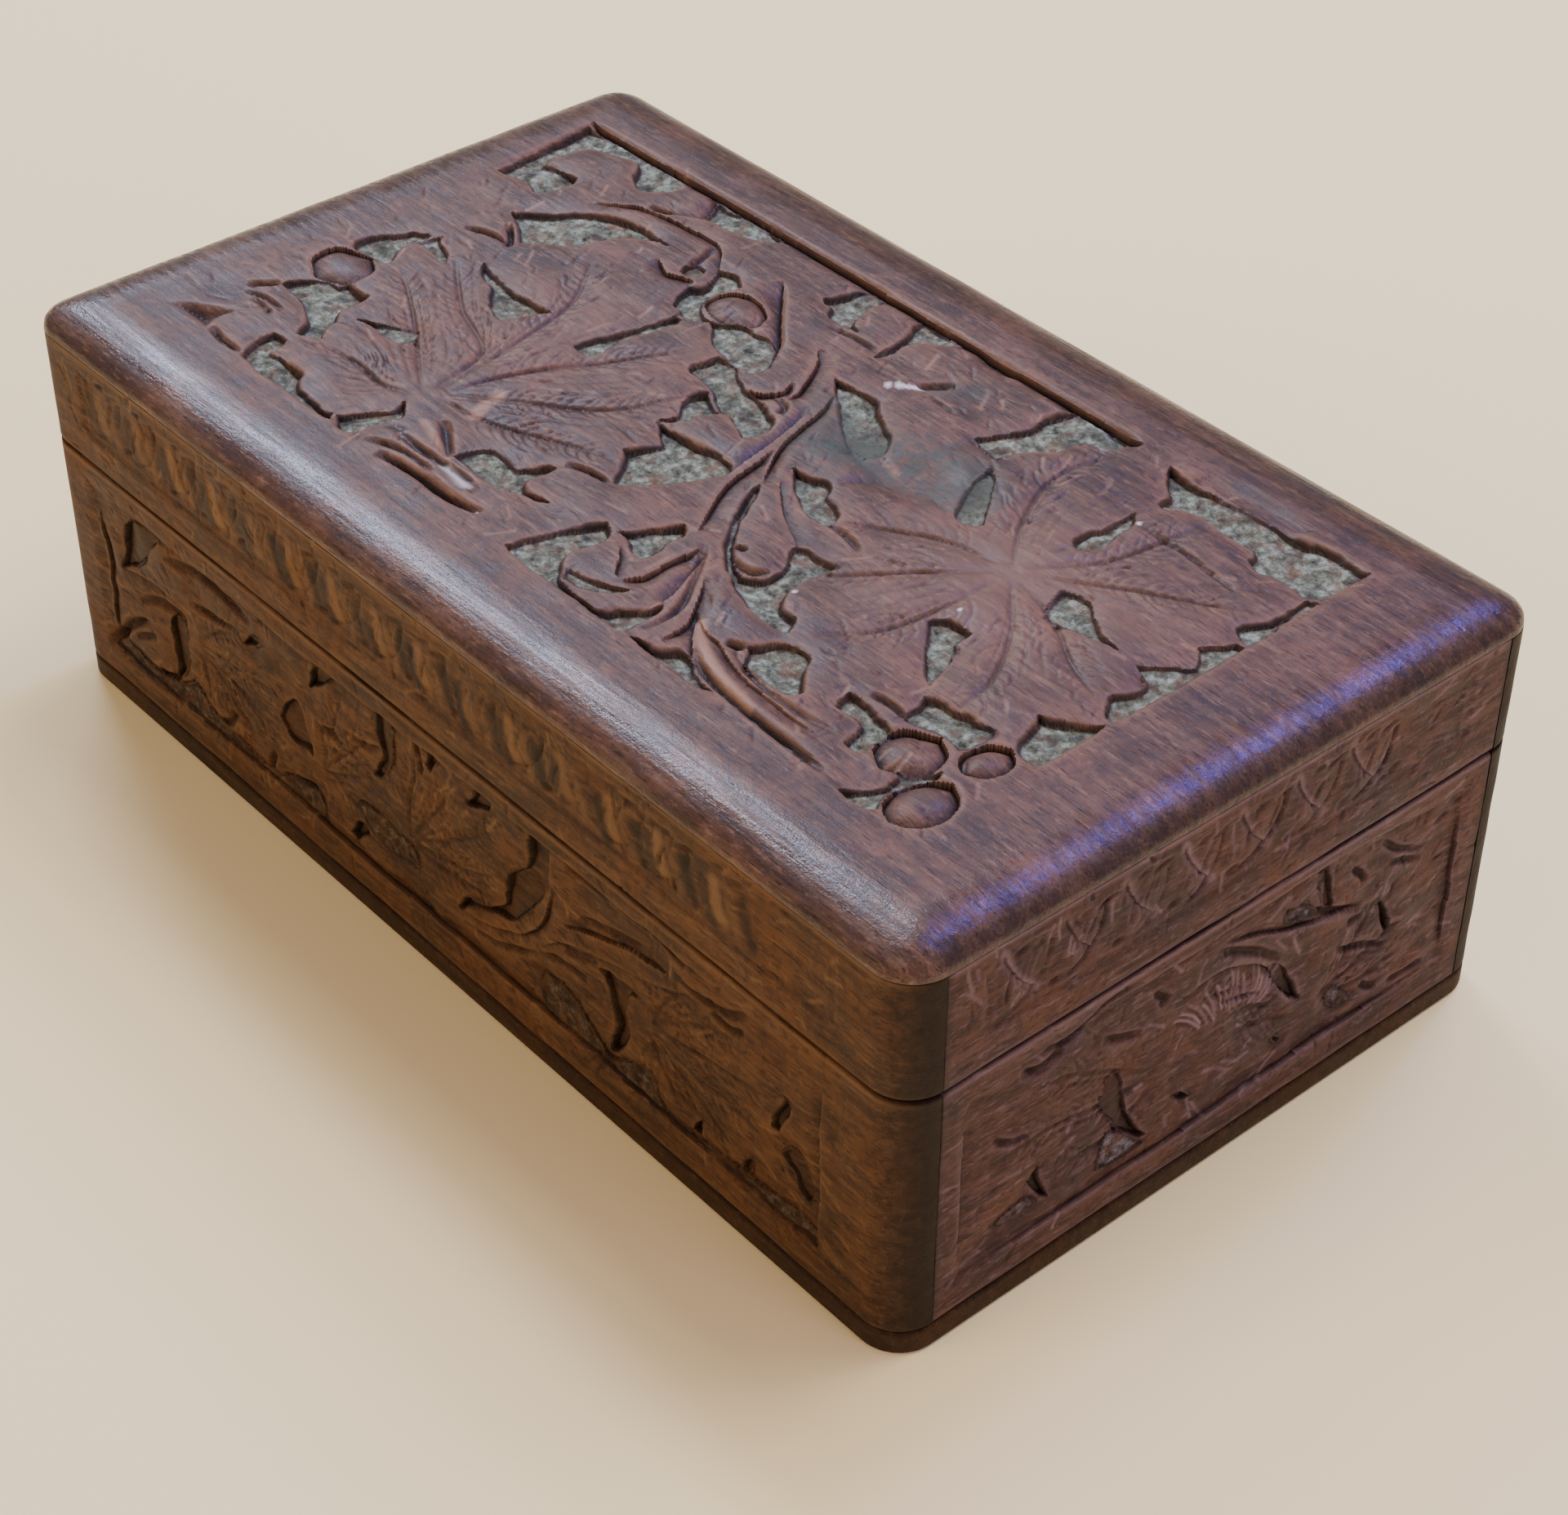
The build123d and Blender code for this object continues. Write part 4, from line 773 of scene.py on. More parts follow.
topPockets = {
    "backLeftStrip": (2.3, [
        (13.4, 125.6), (18, 126.9), (24, 127.2), (30, 126.5), (36, 127.3), (42, 127.2), (46, 126.6),
        (46.5, 121.2), (44.5, 118.5), (42, 116.4), (39, 117.4), (36, 119.3), (34.8, 121.5),
        (32, 123.3), (28.6, 122.6), (24.5, 121.2), (20.5, 120.2), (20, 117), (20.3, 112),
        (20.4, 109.2), (24, 109.4), (29.5, 110.4), (31, 108.2), (30.6, 104.5), (30, 100.8),
        (28.6, 99.6), (25, 101.2), (20.5, 100.6), (16.4, 99.4), (15.9, 105), (15.2, 111), (14.2, 119),
    ]),
    "backLeftEye": (2.3, [
        (55.2, 126.6), (60, 126.5), (64, 127.4), (70, 127.2), (76, 126.2), (74.5, 124), (72, 121.5),
        (68, 120), (64, 119.4), (61, 120), (59, 119.2), (57.6, 121.8), (56, 124.2),
    ]),
    "leftCrescent": (2.3, [
        (32.2, 91.5), (34.5, 94.8), (38, 98), (40, 100.6), (44, 103.8), (49, 106.8), (54, 107.8),
        (60, 107.3), (65.5, 106.8), (60, 106), (56, 104), (53, 101.5), (52.4, 98), (51.5, 95),
        (52, 92.5), (48, 90.6), (45, 88), (42.8, 85.3), (40.5, 86.5), (38.3, 88.2), (36, 89.6),
    ]),
    "budLeft": (2.3, [
        (79.5, 109.5), (82, 109.3), (84.5, 107.5), (83.5, 104.5), (83, 101.5), (84.5, 98.2),
        (87, 95.8), (90.5, 95.3), (88.5, 93.4), (85, 92.2), (82.5, 93), (80.2, 93.8), (78.2, 97),
        (76.8, 100.4), (78.5, 102.4), (78, 105), (76.6, 108.4),
    ]),
    "budHole": (1.8, [
        (72, 106.8), (75, 106.6), (76, 104), (74.6, 102.4), (72, 102.3), (70.8, 104.4),
    ]),
    "underBud": (2.3, [
        (89.5, 95.4), (92, 97.5), (95.5, 99.8), (98.5, 99.2), (101, 100.2), (104.5, 99),
        (107.5, 96.5), (109.8, 93.5), (110.2, 90.3), (109, 88.5), (103, 89), (97, 89.8),
        (94, 91.8), (91.4, 94),
    ]),
    "middleUpper": (2.3, [
        (100.2, 88.8), (105, 89.2), (107.5, 87.5), (112.5, 85), (117, 84.6), (121.5, 83),
        (124.8, 81.6), (125.8, 78), (125, 73.4), (121, 75.5), (117, 77), (115.8, 76.2), (112, 77.8),
        (108.4, 79.8), (104.5, 80.6), (101, 80.8), (99.6, 82.5), (100.2, 86),
    ]),
    "middleHook": (2.3, [
        (108, 79.6), (111.5, 77.8), (115.8, 76.4), (115, 74), (113.5, 71.8), (114, 70), (112.6, 68),
        (110.6, 65.2), (110.3, 66.5), (111.6, 69.5), (109.5, 72), (108, 74), (107.2, 76.8),
    ]),
    "middleLower": (2.3, [
        (110.6, 65.3), (115, 66.2), (120, 66.5), (125, 67.4), (130, 67), (131.6, 65.8), (131, 63),
        (129, 57.5), (127.5, 54.5), (125.5, 51.5), (123.6, 49.2), (121.5, 47), (120, 48),
        (117.8, 51), (115.6, 53.6), (114, 55.2), (115, 58), (116.6, 61.5), (113.5, 63.4),
    ]),
    "leafSlit": (2.1, [
        (83.8, 92), (86.2, 91.6), (86.6, 88), (85.8, 84), (84.8, 79), (85.2, 74), (85.6, 70.5),
        (83, 69.3), (80, 70), (80, 74), (81.5, 78.5), (82.6, 84), (83.2, 88.5),
    ]),
    "leafAlmond": (1.8, [
        (44.6, 75.4), (48, 74.8), (53, 73.8), (58, 73.2), (63, 73.6), (68.4, 74.4), (66.5, 71.5),
        (65.4, 68), (64.6, 65), (61.5, 65), (58, 66.8), (55.5, 68.5), (53, 70.6), (48.5, 71.8),
        (46.5, 73),
    ]),
    "edgeNotch": (2.2, [
        (28.8, 74.4), (30, 73.2), (29.9, 70), (29.5, 67), (31.4, 64.5), (32.8, 62.2), (32.6, 60.4),
        (30, 60.2), (27.5, 60.3), (24.5, 59.6), (22.6, 59.8), (21.4, 62), (22, 65.5), (24, 69.5),
        (26.2, 72.6),
    ]),
    "edgeSickle": (1.7, [
        (31, 75.6), (33.5, 73.6), (36.5, 72.6), (39.5, 70.6), (40.4, 69.2), (37, 69.6),
        (33.5, 70.2), (30.4, 70.4), (30.6, 73),
    ]),
    "leftBelowBerry": (2.3, [
        (33.8, 51.3), (37.5, 51), (41.3, 51.2), (41.4, 47.6), (41.2, 44.8), (42.6, 42.8), (45, 41),
        (44.2, 39.6), (46.5, 36.5), (48.4, 35.2), (45, 34), (43.5, 32.4), (42, 34.8), (40, 37.4),
        (36.5, 39.2), (33, 40.2), (29.5, 40.6), (26, 41), (26, 42.8), (28.5, 46.4), (31, 49),
        (33.2, 49.2),
    ]),
    "leafSlitLow": (1.8, [(45, 43), (51, 47.5), (57, 51.5), (60, 48), (57, 45), (50, 45)]),
    "frontLong": (2.3, [
        (40.3, 30), (44, 30.4), (45.3, 28), (45.5, 25.6), (50, 26), (55.5, 25.8), (57.4, 24),
        (60, 22.8), (64, 22.6), (68, 22.2), (70.5, 22.8), (72, 20.8), (74.5, 20.4), (66, 20.3),
        (57, 20.2), (48, 20.2), (43, 20.6), (41.4, 23), (40, 26.5),
    ]),
    "stalkHole": (2.2, [
        (75.3, 35), (78, 33.4), (79.8, 31.4), (79.2, 28), (78, 24.6), (78.6, 21.5), (76, 20.4),
        (73.6, 21), (71, 22.8), (73, 26), (75.5, 29.6), (76.4, 32),
    ]),
    "frontSlit": (2.2, [
        (95.6, 30.6), (96.4, 34), (98.4, 37.2), (102, 38), (106, 37.4), (107.6, 39.6), (109, 42.4),
        (111, 42.6), (111, 39.5), (110.6, 36.4), (113, 34.4), (116, 34.8), (119.8, 34.6),
        (117, 33.4), (113, 32.4), (110, 30.8), (105, 30.3), (100, 30.6),
    ]),
    "frontMiddle": (2.3, [
        (130, 39.2), (133.6, 36.8), (134, 33), (133.4, 29.5), (133.4, 27), (135.6, 25), (138, 22.8),
        (142, 21.8), (146, 21.4), (150, 22.4), (151.6, 25), (154, 28), (154.8, 31.6), (155.8, 30),
        (156.6, 26), (157, 21), (150, 20.3), (140, 20.3), (130, 20.4), (124, 21), (124.4, 24),
        (125.6, 28), (127, 33), (128.4, 37),
    ]),
    "middleSpot": (2.3, [
        (139.2, 48.8), (141.8, 46.5), (141.4, 43.4), (142.8, 40.4), (142.8, 36.2), (139, 36.8),
        (136, 38), (133.2, 38.4), (135, 41), (137, 44.8),
    ]),
    "frontSickle": (1.4, [
        (135.8, 25), (140, 26), (144, 27.4), (148.6, 29.6), (147.6, 27), (145, 24.6), (141, 23),
        (138, 23.2),
    ]),
    "stemCrack": (2, [
        (138, 66.8), (140.2, 64.4), (143.4, 59), (147, 54), (151, 50), (155, 47.2), (159, 46),
        (155, 45), (152, 46.8), (148, 50), (144.5, 54), (141, 59), (138.4, 64),
    ]),
    "rightOfStem": (2.3, [
        (157.8, 60.2), (161, 60.4), (165.6, 61.4), (165.8, 58), (165.2, 54), (165.6, 50),
        (167, 47.4), (169, 45.6), (172.6, 45.4), (174, 43.2), (174.8, 41), (170, 40.8), (165, 41.2),
        (160, 42.6), (156.6, 44.4), (154.8, 45.6), (157.5, 46.8), (159.6, 48.2), (160.6, 51),
        (159.6, 54), (157.4, 56.4), (156.6, 58.4),
    ]),
    "huskEye": (2.1, [
        (137, 74.8), (141, 75), (144.5, 76.4), (147, 76), (149.4, 73), (152.5, 72.6), (154.6, 71),
        (155.4, 68.6), (156, 67), (152, 66.6), (148, 67.6), (144, 69.6), (140.6, 72),
    ]),
    "stemTop": (2.3, [
        (120.2, 99.4), (124, 100.2), (131, 101), (134, 98.6), (138, 96.4), (141.5, 95),
        (144.2, 92), (145.6, 89), (143, 86.2), (139.2, 86), (136.6, 87.4), (133, 89.6),
        (129, 92.6), (126, 95.2), (123, 97.4),
    ]),
    "backBetween": (2.3, [
        (151.5, 106), (153.5, 110), (155.3, 115), (155.2, 121.8), (156, 127), (170, 127),
        (171, 123), (170, 120), (165, 119), (164.4, 114), (161, 110), (159.2, 103.5), (156, 104),
        (151.5, 105.2),
    ]),
    "backMiddle": (2.2, [
        (114.6, 126.9), (120, 127), (126.6, 125.8), (127.4, 125), (124.6, 122.6), (121.6, 120.4),
        (120.4, 117), (121, 113), (119.8, 109.4), (118.6, 112), (118.4, 116.5), (117.6, 120),
        (115.8, 123.8),
    ]),
    "backHook": (2.1, [
        (99.8, 124.6), (103, 126.2), (105.6, 125.4), (106.8, 124.6), (105.6, 121), (106.8, 118.4),
        (108.8, 115), (112, 113.4), (107, 113), (103, 113.2), (100.6, 116), (99.4, 115.6),
        (97.4, 116.6), (98.6, 120),
    ]),
    "backRightStrip": (2.3, [
        (180.6, 126), (186, 125.4), (192, 125.8), (200, 126.2), (208, 126.6), (213, 127),
        (218, 128), (224, 127.2), (226, 128), (225.6, 120), (225.8, 116), (223, 114.4), (220, 115),
        (215, 114.6), (213, 113.6), (209.4, 115), (209, 117), (207.6, 118), (202, 117.8),
        (195, 118.4), (191, 117.4), (190, 115.6), (187.4, 116), (187, 119), (183.6, 121.6),
    ]),
    "rightEdgeTop": (2.3, [
        (226, 115), (223.6, 114.5), (223.8, 108), (223.4, 104.5), (221.6, 101), (221.8, 98.8),
        (224, 97.2), (226.6, 97), (226.6, 103), (225.8, 108),
    ]),
    "rightEdgeMiddle": (2.3, [
        (226.6, 96), (225, 96), (222.4, 92.6), (221, 90.2), (223.6, 88), (224.6, 86.2),
        (222.8, 84.6), (220.4, 82), (217.8, 79.4), (220.6, 78), (222.4, 76), (222, 73),
        (220.6, 70.4), (221.8, 68.4), (224, 66.2), (226.4, 65.2), (226.9, 80),
    ]),
    "rightEdgeLow": (2.3, [
        (226.6, 64.4), (224.6, 62.6), (221.4, 60.4), (218.6, 58.4), (217, 57.4), (218.4, 56),
        (219, 52.6), (220, 50), (221.6, 48.6), (226.8, 48.2),
    ]),
    "rightLeafNotch": (1.6, [
        (195, 85), (197.6, 86), (200.6, 86.2), (203.6, 84.2), (207, 82), (210.6, 80.4),
        (214.8, 79.8), (210, 79), (206, 78.4), (202, 77.4), (199, 77), (196.8, 79.4), (195.6, 82.4),
    ]),
    "rightLeafSlit": (1.9, [
        (187.4, 111), (188.6, 109), (190, 106.6), (190.4, 102.6), (190.8, 99.4), (190.2, 96),
        (188.4, 95), (186.2, 96.2), (185.8, 99.6), (187, 103), (187, 107),
    ]),
    "rightLeafTip": (1.7, [(187, 119.4), (190, 119.6), (191.4, 117.8), (190, 114.8), (187.6, 115.6)]),
    "rightLeafSickle": (1.9, [
        (160, 101.6), (162.6, 100.2), (164.8, 98.2), (167.6, 95.2), (169.8, 92), (172.8, 88),
        (171.6, 86.4), (169.4, 85.4), (167, 86.2), (165, 89), (163, 92.4), (161.6, 96.6),
    ]),
    "rightLeafLow": (2.1, [
        (187, 63), (189.6, 64.8), (192, 65.2), (194.6, 64.8), (194.8, 61.4), (196.6, 59.6),
        (197.8, 56.4), (199, 53), (200.2, 49.8), (197, 51.6), (193, 55.4), (189.4, 59),
        (186.6, 61.8),
    ]),
    "frontRightHole": (2.2, [
        (176, 39.6), (178.6, 40.4), (182.4, 40), (184, 37.6), (186.6, 35), (188.8, 33), (188, 31),
        (184, 30.6), (180, 30.2), (176, 31), (174, 33.4), (172.6, 34.4), (174, 36.6),
    ]),
    "aboveBerries": (2.2, [
        (201.6, 47.6), (204, 49), (207, 48.8), (209.6, 50), (212, 49.8), (215.4, 50.2), (217, 48.4),
        (216.4, 45), (215.6, 41.6), (213, 42.8), (210.8, 43), (207, 41.4), (204, 40), (203, 42.4),
        (202.6, 45),
    ]),
    "leftOfBerries": (2.2, [
        (193, 38.8), (196, 38.9), (199.6, 38.6), (203.6, 38), (205.6, 36.4), (205, 33.6),
        (206.4, 30.6), (204.6, 29.4), (202.4, 29.4), (201.6, 32), (201, 34.6), (198, 35),
        (194.6, 34.2), (193.6, 36),
    ]),
    "belowBerries": (2.3, [
        (218, 36.6), (218.8, 34.8), (217, 32), (216, 28.6), (216.2, 25.6), (218, 23), (217.6, 21),
        (214, 20.6), (210.4, 20.6), (211.4, 22.4), (213.6, 24.6), (214.6, 27), (214, 30.4),
        (212, 31.6), (214.6, 32.2), (216.4, 34),
    ]),
    "frontRightEdge": (2, [
        (166.4, 25.4), (168.8, 25.8), (171.4, 24.6), (175, 23.2), (179, 21.8), (176, 20.6),
        (170, 20.5), (164, 20.6), (158, 20.8), (160, 22), (164, 22.8),
    ]),
}
topScoops = [
    (2.2, 4, [(17, 20.4), (21, 24), (26, 27.8), (31.5, 31.2), (30, 28.5), (29.8, 25), (30.8, 22),
              (32.5, 20.8), (29, 20.3), (23, 20.3)]),
    (1.7, 7, [(139.5, 85.4), (143, 88.6), (147, 93.6), (152, 96.5), (158, 97.4), (162, 95.2),
              (165, 90.6), (168.4, 86.4), (166, 83.6), (162, 82), (159, 80), (155, 79.4),
              (150.6, 78), (147.6, 76.4), (145.4, 77.6), (145, 80.4), (142, 83)]),
    (0.9, 4, [(185, 124), (212, 124.5), (212, 131), (198, 132.5), (185, 131)]),
    (0.8, 3, [(79.6, 26.6), (84.4, 26.6), (84.4, 30.4), (79.6, 30.4)]),
    (0.8, 5, [(130, 121), (142, 121), (142, 130), (130, 130)]),
]
topDomes = [
    (1.4, 6, [(28, 60.6), (33.7, 57.3), (34.6, 54), (33.7, 50.7), (28, 47.4), (22.3, 50.7),
              (21.4, 54), (22.3, 57.3)]),
    (1.9, 5.6, [(210.8, 42.6), (215.4, 39.8), (216.8, 36), (215.4, 32.2), (210.8, 29.4),
                (206.2, 32.2), (204.8, 36), (206.2, 39.8)]),
    (1.7, 4.4, [(220.5, 48.9), (223.6, 46.8), (224.5, 43.5), (223.6, 40.2), (220.5, 38.1),
                (217.4, 40.2), (216.5, 43.5), (217.4, 46.8)]),
    (1.7, 5.2, [(221.6, 35.2), (225.4, 33), (227, 28.4), (225.4, 23.8), (221.6, 21.6),
                (217.8, 23.8), (216.2, 28.4), (217.8, 33)]),
    (1.1, 5, [(90, 106.5), (95, 104.8), (97.2, 101), (95, 97.4), (90, 96.4), (85, 98), (83.4, 101),
              (85, 105)]),
]
# Depth, reach, then the line
topGrooves = [
    (1.2, 1.2, [(31, 81), (36, 83), (41, 83.8), (43, 82.6)]),
    (1.8, 1.2, [(35.8, 88.3), (39, 86.2), (42.6, 83.2)]),
    (1.3, 1.4, [(69, 113.5), (71, 108), (71.5, 105)]),
    (1.2, 1.2, [(111, 44.5), (115, 46), (120.5, 46.8)]),
    (1.2, 1.2, [(26, 41), (24, 38), (22, 36)]),
    (0.8, 1, [(24, 34.3), (29, 35.6), (35, 35.4)]),
    (0.7, 1, [(27, 33.8), (31, 33.6), (35, 32.8)]),
    (1.1, 1.2, [(31, 22), (36, 21), (42, 21.3)]),
    (1.2, 1.3, [(81, 22), (85, 23.8), (90, 25.2), (94, 25.2), (98, 24.4)]),
    (2.4, 1.5, [(86.5, 20.8), (91, 22), (97, 22.6), (103, 22.4), (109, 23), (113.5, 24)]),
    (1.1, 1.4, [(84, 27.6), (90, 27.4), (97, 28), (104, 28.2), (108, 27)]),
    (1.3, 1.6, [(86, 36), (90, 33.5), (94, 31), (96, 30)]),
    (0.9, 1.2, [(155, 68.2), (160, 67.6), (165, 66.3)]),
    (1.2, 1.2, [(170, 32), (171.5, 33), (173, 34)]),
    (1.1, 1.2, [(196, 41), (200, 41.6), (204, 41.5)]),
    (1, 1.2, [(118, 87.4), (121.6, 86.4), (123, 84)]),
    (1.1, 1.3, [(146, 47.4), (149.6, 43.6), (153, 39), (156.4, 34.4), (158, 30), (158.4, 24)]),
    (1.5, 1.3, [(168, 27.2), (172, 25), (178, 23.6), (186, 22.8), (195, 22.4), (206, 22)]),
    (0.8, 1.2, [(170, 33.4), (178, 30), (186, 28.8), (194, 29), (200, 30)]),
    (1.1, 1.2, [(150, 49.4), (153, 48), (157, 48), (160, 50.6)]),
    (1, 1, [(149.6, 51), (151, 51.4), (152.4, 51.4)]),
    (1.2, 1.6, [(132.5, 109), (135, 112), (137, 114.6)]),
    (0.9, 1.2, [(106, 111), (112, 111.8), (119, 112)]),
    (0.5, 0.8, [(136, 108.6), (140, 108.4), (144, 108)]),
    (0.6, 1, [(190, 108.5), (203, 108), (215, 106.5)]),
    (0.9, 1.4, [(54, 115.5), (51, 114.4), (48.6, 113.6)]),
]
# Drop, reach, lowered side (1 is left of the line), then the line
topCreases = [
    (2.2, 6, -1, [(88, 115), (93, 110.5), (97, 106.8), (101, 103.2), (105, 99.6), (108, 95.5)]),
    (1.5, 4, 1, [(110.8, 104), (114, 101), (117, 96.6), (119.6, 91.6), (120.4, 88)]),
    (1.2, 3, -1, [(113, 85), (116, 86), (117.8, 89), (116.8, 92.6)]),
    (1.0, 3, -1, [(125.2, 90), (127, 85), (128.4, 80), (130, 74), (131, 68), (130.6, 64)]),
    (1.2, 3, 1, [(124, 97), (127, 91), (129, 84), (131, 78), (134, 72.6), (138.6, 66.8)]),
    (1.4, 5, 1, [(131.4, 76), (132.6, 70), (133.4, 65), (135.4, 60), (138.6, 54.6), (142.6, 48.6)]),
    (1.0, 2.5, 1, [(137, 36), (140, 33.6), (142.6, 30.6), (144.4, 30)]),
    (1.4, 3.5, 1, [(147, 46), (146.4, 40), (146.8, 34), (145.4, 30)]),
    (1.4, 4, -1, [(148.6, 45), (151, 40), (153.4, 35), (154.6, 31)]),
    (1.2, 3.5, 1, [(154, 41), (158, 36), (161.4, 31), (162.6, 27), (162.6, 24)]),
    (1.0, 3, -1, [(160, 34.6), (164, 30), (168, 26.6), (170, 25)]),
    (0.7, 2.5, -1, [(160.6, 34), (165, 31.6), (169.6, 31), (174, 29.4), (180, 28), (188, 27.4),
                    (195, 27), (199, 27.6)]),
    (1.2, 4, 1, [(139.6, 70), (144, 66.4), (149, 63), (154, 60.6), (157, 59)]),
    (1.4, 4, -1, [(53, 126.5), (55.5, 125), (59, 119), (54, 115.5), (49, 113.5)]),
    (0.9, 3, -1, [(40, 105), (44, 109), (48, 112), (60, 114), (70, 114), (80, 105)]),
    (1.2, 3.6, -1, [(65.5, 102), (68, 101), (71, 100), (74, 101.5), (77, 102)]),
]
leftLeafVeins = [
    [(75, 37), (68, 35), (59, 35.6), (49, 34)],
    [(75, 39), (66, 44.5), (52, 53.5), (36, 62)],
    [(76, 41), (70, 56), (56, 62), (40, 72)],
    [(77, 41), (74, 55), (68, 78), (58, 92)],
    [(78, 42), (82, 58), (90, 74), (97, 88)],
    [(78, 41), (88, 50), (102, 62), (108, 76)],
    [(79, 40), (90, 42), (104, 48), (116, 52)],
]
rightLeafVeins = [
    [(185, 83), (176, 94), (170, 108), (172, 122)],
    [(187, 84), (194, 96), (196, 106), (198, 117)],
    [(188, 83), (200, 92), (210, 98), (221, 105)],
    [(189, 81), (200, 78), (210, 72), (220, 68)],
    [(188, 80), (198, 70), (206, 58), (208, 48)],
    [(186, 79), (186, 68), (184, 54), (178, 44)],
    [(184, 80), (176, 70), (168, 60), (160, 54)],
    [(183, 82), (172, 80), (162, 74), (154, 68)],
]


# A carver's strokes, in millimetres. A pair is the range that each stroke draws from, and "depths"
# and "runs" are shares of the depth and run beside them.
veinTrough = {"depth": 0.9, "reach": 3.2, "taper": 0.4}  # depth as a share of the vein's own
veinCut = {"reach": 0.8, "taper": 0.35}
# Ribs leave a vein from its first share to its last, and shorten along it. Their run and depth are
# for a vein 1 mm deep. A bend is a share of the run and the angle away from the vein.
ribStrokes = {
    "spacing": 2.3, "first": 0.22, "last": 0.9, "run": 18, "runs": (0.6, 1.1), "longest": 1.15,
    "depth": 0.42, "depths": (0.5, 1.3), "reach": (0.5, 0.75), "taper": 0.35,
    "bends": [(0.5, 0.95), (1, 0.7)], "wobble": 0.1,
}
hatchStrokes = {
    "depth": 0.2, "depths": (0.5, 1.2), "reach": 0.62, "taper": 0.3, "shift": 0.25,
    "start": (0.02, 0.3), "end": (0.7, 1), "points": 6,
}
toolStrokes = {
    "run": (1.5, 6), "depth": (0.08, 0.24), "reach": (0.45, 0.8), "taper": 0.4, "stray": 0.35,
    "rubbedShare": 0.2, "rubbedReach": 0.5, "rubbedAndHighlight": (0.3, 0.7),
}


def hatch(relief, first, last, count, random):
    # Gouge strokes side by side, from one guide line to the next
    first, last = np.array(first, float), np.array(last, float)
    shift = hatchStrokes["shift"]
    for k in range(count):
        share = (k + 0.5 + random.uniform(-shift, shift)) / count
        line = smoothLine(first * (1 - share) + last * share)
        start, end = random.uniform(*hatchStrokes["start"]), random.uniform(*hatchStrokes["end"])
        line = line[int(start * len(line)) : int(end * len(line))]
        line = line[:: max(1, len(line) // hatchStrokes["points"])]
        depth = hatchStrokes["depth"] * random.uniform(*hatchStrokes["depths"])
        relief.groove(line, depth, hatchStrokes["reach"], hatchStrokes["taper"])


def ribs(relief, vein, veinDepth, random):
    # Short bent strokes that leave a vein on both sides, like a feather's
    line = smoothLine(vein)
    total = np.hypot(*np.diff(line, axis=0).T).sum()
    run, wobble = veinDepth * ribStrokes["run"], ribStrokes["wobble"]
    for share in np.arange(ribStrokes["first"], ribStrokes["last"], ribStrokes["spacing"] / total):
        i = int(share * (len(line) - 2))
        heading = math.atan2(*(line[i + 1] - line[i])[::-1])
        for side in (-1, 1):
            size = run * random.uniform(*ribStrokes["runs"]) * (ribStrokes["longest"] - share / 2)
            stroke = [line[i]]
            for part, turn in ribStrokes["bends"]:
                turn = heading + side * (turn + random.uniform(-wobble, wobble))
                stroke.append(line[i] + part * size * np.array([math.cos(turn), math.sin(turn)]))
            depth = veinDepth * ribStrokes["depth"] * random.uniform(*ribStrokes["depths"])
            relief.groove(stroke, depth, random.uniform(*ribStrokes["reach"]), ribStrokes["taper"])


def carveLeaf(relief, veins, count, random, depth=0.5):
    # A sunken trough and a fine cut for each main vein, and fine strokes between them
    for line in veins:
        relief.groove(line, depth * veinTrough["depth"], veinTrough["reach"], veinTrough["taper"])
    for line in veins:
        relief.groove(line, depth, veinCut["reach"], veinCut["taper"])
        ribs(relief, line, depth, random)
    for first, last in zip(veins[:-1], veins[1:]):
        hatch(relief, first, last, count, random)


def toolMarks(relief, field, count, hearts, random):
    # Short shallow strokes of a small gouge, fanning out from the nearest leaf's heart
    left, bottom, right, top = field
    for _ in range(count):
        u, v = random.uniform(left, right), random.uniform(bottom, top)
        heart = min(hearts, key=lambda spot: math.hypot(u - spot[0], v - spot[1]))
        turn = math.atan2(v - heart[1], u - heart[0]) + random.normal(0, toolStrokes["stray"])
        run = random.uniform(*toolStrokes["run"])
        stroke = [(u, v), (u + run * math.cos(turn), v + run * math.sin(turn))]
        depth, reach = random.uniform(*toolStrokes["depth"]), random.uniform(*toolStrokes["reach"])
        relief.groove(stroke, depth, reach, toolStrokes["taper"])
        if random.uniform() < toolStrokes["rubbedShare"]:
            amount = random.uniform(*toolStrokes["rubbedAndHighlight"])
            relief.brush("wornAndHighlit", stroke, toolStrokes["rubbedReach"], amount)
